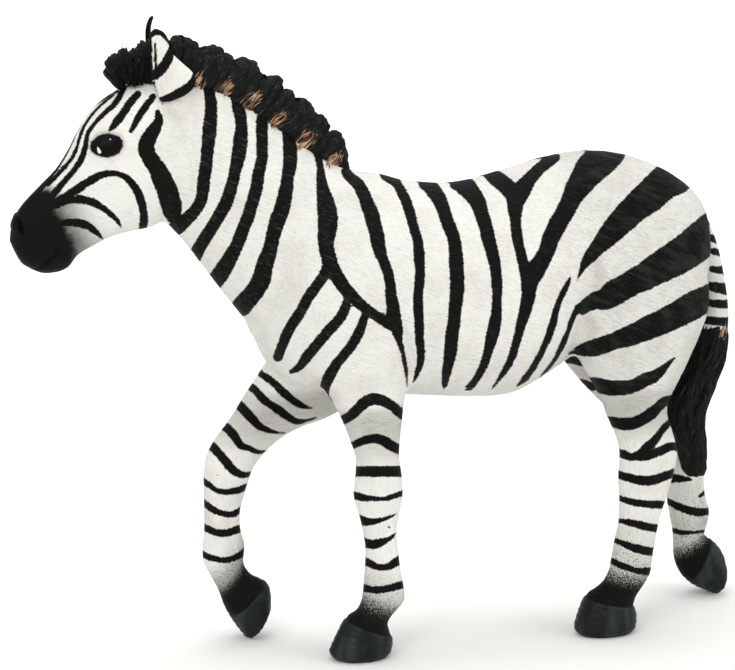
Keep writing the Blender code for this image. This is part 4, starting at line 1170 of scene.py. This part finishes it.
# Black on the ear: across, height and half width in mm.
EAR_STRIPES = (
    ((3.0, 9.9, 0.4), (2.6, 9.1, 0.75), (1.9, 8.0, 0.85), (1.2, 7.0, 0.85), (0.5, 6.1, 0.8),
     (-0.2, 5.3, 0.8), (-0.9, 4.8, 0.7)),
    ((-0.9, 12.1, 0.5), (-0.2, 12.7, 0.6), (0.9, 12.6, 0.6), (1.7, 11.7, 0.4), (2.3, 10.6, 0.25)),
    ((6.9, 4.9, 0.5), (6.4, 3.6, 1.0), (5.4, 2.65, 1.1), (4.0, 1.8, 1.15), (2.4, 1.0, 1.0),
     (0.9, 0.6, 0.6)),
    ((-1.2, 3.8, 0.45), (-1.2, 7.6, 0.45), (-1.15, 11.5, 0.45)),
    ((-0.25, 4.6, 0.22), (-0.3, 6.7, 0.22), (-0.25, 10.6, 0.16)),
    ((-0.64, 3.7, 0.14), (0, 0.53, 0.14)),
)
EAR_DARK_RIM = (((-1.6, 0, 1.5), (-1.7, 13, 1.7)), ((0, 11.5, 2), (0, 13, 3)))


def leaf(name, foot, across, up, out, bow, hook, strokes):
    """An ear's closed shell in mm, with its paint; its tip hooks outwards."""
    fine = through(EAR, 7)
    count = 33
    bend = np.linspace(-1, 1, count) * pi / 2
    points, spots, inside = [], [], []
    for height, front, rear, depth in fine:
        mid, half = (front + rear) / 2, (rear - front) / 2
        arc = np.cos(bend)
        place_across = mid + half * np.sin(bend)
        skin = min(EAR_SKIN, half) * (0.45 + 0.55 * arc) / 2
        for sign in (1, -1):
            level = depth * bow * arc ** 0.8 + sign * skin + hook * (height / EAR[-1][0]) ** 7
            order = slice(None) if sign > 0 else slice(None, None, -1)
            row = foot + np.outer(place_across, across) + height * up + np.outer(level, out)
            points.append(row[order])
            spots.append(np.stack((place_across, np.full(count, height)), axis=1)[order])
            inside.append(np.full(count, sign < 0))
    mesh = mesh_of(name, np.concatenate(points), skin_faces(len(fine), 2 * count))
    spots, inside = np.concatenate(spots), np.concatenate(inside)
    stripes = [[tuple(v * PER_MM for v in spot) for spot in stroke] for stroke in strokes]
    stripe = edge_distance(spots * PER_MM, stripes)
    put(mesh, "stripe", np.where(inside, -6.0, stripe))
    for kept, value in (("soot", 0), ("haze", 0), ("hoof", INSIDE), ("wear_and_sheen", 0.2), ("rough", 0.5)):
        put(mesh, kept, value)
    for away in ("spray", "eye", "glint", "nostril", "crease_shadow", "fleck", "tan"):
        put(mesh, away, FAR)
    put(mesh, "comb", np.stack((spots[:, 1], spots[:, 0], np.where(inside, 3.0, 0.0)), axis=1))
    shade_smooth(mesh)
    return mesh


left_lean = radians(11)
left_foot = lifted(((157, 101),), np.array([-4.6]))[0]
left_ear_mesh = leaf(
    "left_ear_leaf", left_foot, np.array((1.0, 0, 0)),
    np.array((-0.06, -sin(left_lean), cos(left_lean))),
    np.array((0, -cos(left_lean), -sin(left_lean))), 0.75, 0.0, EAR_STRIPES,
)
keep(left_ear_mesh, "left_ear_leaf", "left_ear", hide)
right_turn = radians(77)
right_ear_mesh = leaf(
    "right_ear_leaf", np.array((-43.9, 4.9, 103.4)),
    np.array((cos(right_turn), sin(right_turn), 0)),
    np.array((-0.12, 0.08, 1.04)), np.array((sin(right_turn), -cos(right_turn), 0)), 0.5, 1.7,
    EAR_STRIPES + EAR_DARK_RIM,
)
keep(right_ear_mesh, "right_ear_leaf", "right_ear", hide)

# Tail: a banded dock that ends in a long black tuft, one solid plastic moulding
# glued by a peg in the rump. The tuft's wavy locks are carved and painted black.
# Sections in mm: x, z, half depth, half width.
TAIL = (
    (57.6, 79.9, 1.9, 1.8), (58.6, 78.4, 2.0, 1.9), (59.8, 76.0, 2.1, 2.0), (61.5, 72, 2.1, 2.1),
    (63.1, 66, 2.1, 2.1), (64.0, 60, 2.3, 2.1), (63.9, 56, 2.6, 2.2), (63.3, 52, 3.3, 2.5),
    (61.9, 48, 3.8, 2.7), (59.3, 43.5, 4.6, 2.8), (58.5, 40, 4.4, 2.7), (58.5, 37, 3.9, 2.5),
    (59.4, 33, 3.5, 2.4), (60.0, 30, 3.3, 2.3), (60.4, 28, 3.1, 2.0), (60.8, 26.6, 2.1, 1.3),
)
TUFT_TOP = 55.6
TUFT_LOCKS = 21
LOCK_RING = 14
LOCK_STATIONS = 12
TUFT_CORE = 0.80
TUFT_VOXEL = 0.24
TUFT_STRAND = 0.42
DOCK_BANDS = (
    ((708, 218, 2), (711, 222, 3)), ((711, 238, 3.5), (730, 242, 5)),
    ((712, 251, 3), (730, 255, 4.5)), ((712, 269, 3), (730, 271, 5)),
    ((706, 285, 3.5), (715, 287, 5), (730, 290, 6)),
    ((704, 301, 3), (714, 303.5, 4), (730, 304, 4.5)), ((700, 320, 4), (730, 322, 4.5)),
)
TAIL_TAN = (((718, 330, 1.5), (726, 331, 2.5)), ((722, 333, 1), (724, 336, 0.4)))


def tail_at(z):
    """The tail's middle, half depth and half width at heights."""
    table = np.array(TAIL[::-1]) + (MASTER_X, 0, 0, 0)
    return [np.interp(z, table[:, 1], table[:, column]) for column in (0, 2, 3)]


def lock_of_hair(turn_at, low, wave, thick):
    """One wavy lock on the tuft's surface."""
    z = np.linspace(TUFT_TOP, low, LOCK_STATIONS)
    t = np.linspace(0, 1, LOCK_STATIONS)
    x, deep, wide = tail_at(z)
    angle = turn_at + 0.5 * np.sin(5 * t + wave) + 0.35 * t
    reach = 0.60 + 0.28 * np.sin(pi * (0.2 + 0.8 * t)) ** 0.6
    cx = x + np.cos(angle) * deep * reach
    cy = np.sin(angle) * wide * reach
    radius = thick * (0.15 + np.sin(pi * (0.10 + 0.88 * t)) ** 0.7)
    rows = np.stack((cx - radius, z, cx + radius, z, radius), axis=1)
    fine = through(rows, 4)
    centre_y = np.interp(np.linspace(0, 1, len(fine)), t, cy)
    points, faces = rings(rows, steps=4, turn=LOCK_RING)
    points[:, 1] += np.repeat(centre_y, LOCK_RING)
    return points, faces


tail_rows = []
for x, z, deep, wide in TAIL:
    core = TUFT_CORE if z < TUFT_TOP - 3 else 1.0
    x += MASTER_X
    tail_rows.append((x - deep * core, z, x + deep * core, z, wide * core))
tail_forms = [rings(tail_rows)]
dice = np.random.RandomState(23).rand(TUFT_LOCKS, 4)
for i, (a, b, c, d) in enumerate(dice):
    tail_forms.append(lock_of_hair(
        2 * pi * (i + 0.5 * a) / TUFT_LOCKS, 26.3 + 5 * b * b, 6 * c, 0.46 + 0.26 * d,
    ))
tail = fuse("tail_and_tuft", tail_forms, TUFT_VOXEL)
rub(tail.data, 2)
points = places(tail.data)
normal = outward(tail.data)
x, deep, wide = tail_at(points[:, 2])
angle = np.arctan2(points[:, 1] / wide, (points[:, 0] - x) / deep)
haired = ease(0, 2.5, TUFT_TOP - points[:, 2])
around = (angle + pi) * 3.2 + 40
around = around + haired * 0.5 * np.sin(points[:, 2] * 0.42)
around = around + haired * 0.3 * np.sin(points[:, 2] * 0.9 + 2 * angle)
strand, chance = ridges(around, TUFT_STRAND, np.random.RandomState(7).rand(CHANCES))
height = haired * (0.14 * (strand - 0.6) + 0.14 * (chance - 0.5))
place(tail.data, points + normal * height[:, None])
groove = np.where(haired > 0.5, strand, 0.6)
paint_hair(tail.data, 0.6, chance, groove, (points[:, 2], around, angle))
seen = drawn(nearside(points))
tuft = (points[:, 2] - TUFT_TOP - 0.9 * (chance - 0.5)) * PER_MM
put(tail.data, "tan", edge_distance(seen, TAIL_TAN))
put(tail.data, "stripe", np.minimum(edge_distance(seen, DOCK_BANDS), tuft))
tail_mesh = tail.data
bpy.data.objects.remove(tail)
keep(tail_mesh, "tail_and_tuft", "tail", hair)

# Floor and studio: a plain sheet of matt white paper under three broad soft
# lamps and an even sky. The paper glows faintly where it lies far from the
# figure and behind it, as an overexposed background does.
FLOOR_SIZE = 6.0
PAPER = (0.945, 0.943, 0.922, 1)
PLAIN_PAPER = (0.86, 0.86, 0.85, 1)
FLOOR_GLOW = (0.02, 0.02, 0.02, 1)
FAR_GLOW = (0.5, 0.5, 0.5, 1)
SKY_LIGHT = 0.68
bpy.ops.mesh.primitive_plane_add(size=FLOOR_SIZE)
floor = bpy.context.object
floor.name = "floor"
floor_paper, floor_shader, paper = finish_named("white_paper")
floor_shader.inputs["Base Color"].default_value = PAPER
floor_shader.inputs["Roughness"].default_value = 0.9
floor_shader.inputs["Specular IOR Level"].default_value = 0.0
floor_shader.inputs["Emission Strength"].default_value = 1.0
where = paper.node("ShaderNodeTexCoord").other("Object")
away = paper.node("ShaderNodeVectorMath", {"operation": "LENGTH"}, i0=where).other("Value")
back = paper.node("ShaderNodeSeparateXYZ", Vector=where).other("Y").step(-0.005, 0.03)
glow = paper.blend(away.step(0.12, 0.55).most(back * 0.3), FLOOR_GLOW, FAR_GLOW)
feed(glow, floor_shader, "Emission Color")
# The camera sees the glowing paper; light bounces off a plain one.
camera_ray = paper.node("ShaderNodeLightPath")
plain_shader = floor_paper.node_tree.nodes.new("ShaderNodeBsdfDiffuse")
plain_shader.inputs["Color"].default_value = PLAIN_PAPER
seen_shader = floor_paper.node_tree.nodes.new("ShaderNodeMixShader")
links = floor_paper.node_tree.links
links.new(camera_ray.socket, seen_shader.inputs[0])
links.new(plain_shader.outputs[0], seen_shader.inputs[1])
links.new(floor_shader.outputs[0], seen_shader.inputs[2])
links.new(seen_shader.outputs[0], floor_paper.node_tree.nodes["Material Output"].inputs[0])
floor.data.materials.append(floor_paper)

world = bpy.data.worlds.new("studio")
bpy.context.scene.world = world
world.use_nodes = True
sky = world.node_tree
sky.nodes.clear()
plain, soft = [sky.nodes.new("ShaderNodeBackground") for _ in range(2)]
for background, strength in ((plain, 1.0), (soft, SKY_LIGHT)):
    background.inputs["Color"].default_value = (1, 1, 1, 1)
    background.inputs["Strength"].default_value = strength
rays = sky.nodes.new("ShaderNodeLightPath")
choice = sky.nodes.new("ShaderNodeMixShader")
end = sky.nodes.new("ShaderNodeOutputWorld")
sky.links.new(rays.outputs["Is Camera Ray"], choice.inputs[0])
sky.links.new(soft.outputs[0], choice.inputs[1])
sky.links.new(plain.outputs[0], choice.inputs[2])
sky.links.new(choice.outputs[0], end.inputs["Surface"])

# Each lamp: its name, its place and size in metres, its power in watts.
LAMPS = (
    ("key_lamp", (-0.55, -0.75, 0.75), 0.70, 3.75),
    ("fill_lamp", (0.80, -0.60, 0.45), 0.80, 2.4),
    ("top_lamp", (0.0, 0.10, 1.00), 0.70, 3.0),
)
for name, at_place, size, power in LAMPS:
    light = bpy.data.lights.new(name, "AREA")
    light.shape = "DISK"
    light.size = size
    light.energy = power
    lamp = bpy.data.objects.new(name, light)
    lamp.location = at_place
    aim = Vector((0, 0, 0.06)) - lamp.location
    lamp.rotation_euler = aim.to_track_quat("-Z", "Y").to_euler()
    bpy.context.scene.collection.objects.link(lamp)

# Camera: a long lens, from the figure's left front and a little above, placed
# by the same values as the drawing, so that strokes land where they are drawn.
camera_data = bpy.data.cameras.new("camera")
camera_data.sensor_width = 36.0
camera_data.lens = FOCAL * camera_data.sensor_width / PICTURE[0]
camera = bpy.data.objects.new("camera", camera_data)
turn = Matrix((view_right.tolist(), view_up.tolist(), view_back.tolist())).transposed()
camera.matrix_world = Matrix.Translation(
    Vector(((VIEW_TARGET + view_back * VIEW_DISTANCE) * MM).tolist())
) @ turn.to_4x4()
bpy.context.scene.collection.objects.link(camera)
bpy.context.scene.camera = camera
bpy.context.scene.view_settings.view_transform = "Standard"
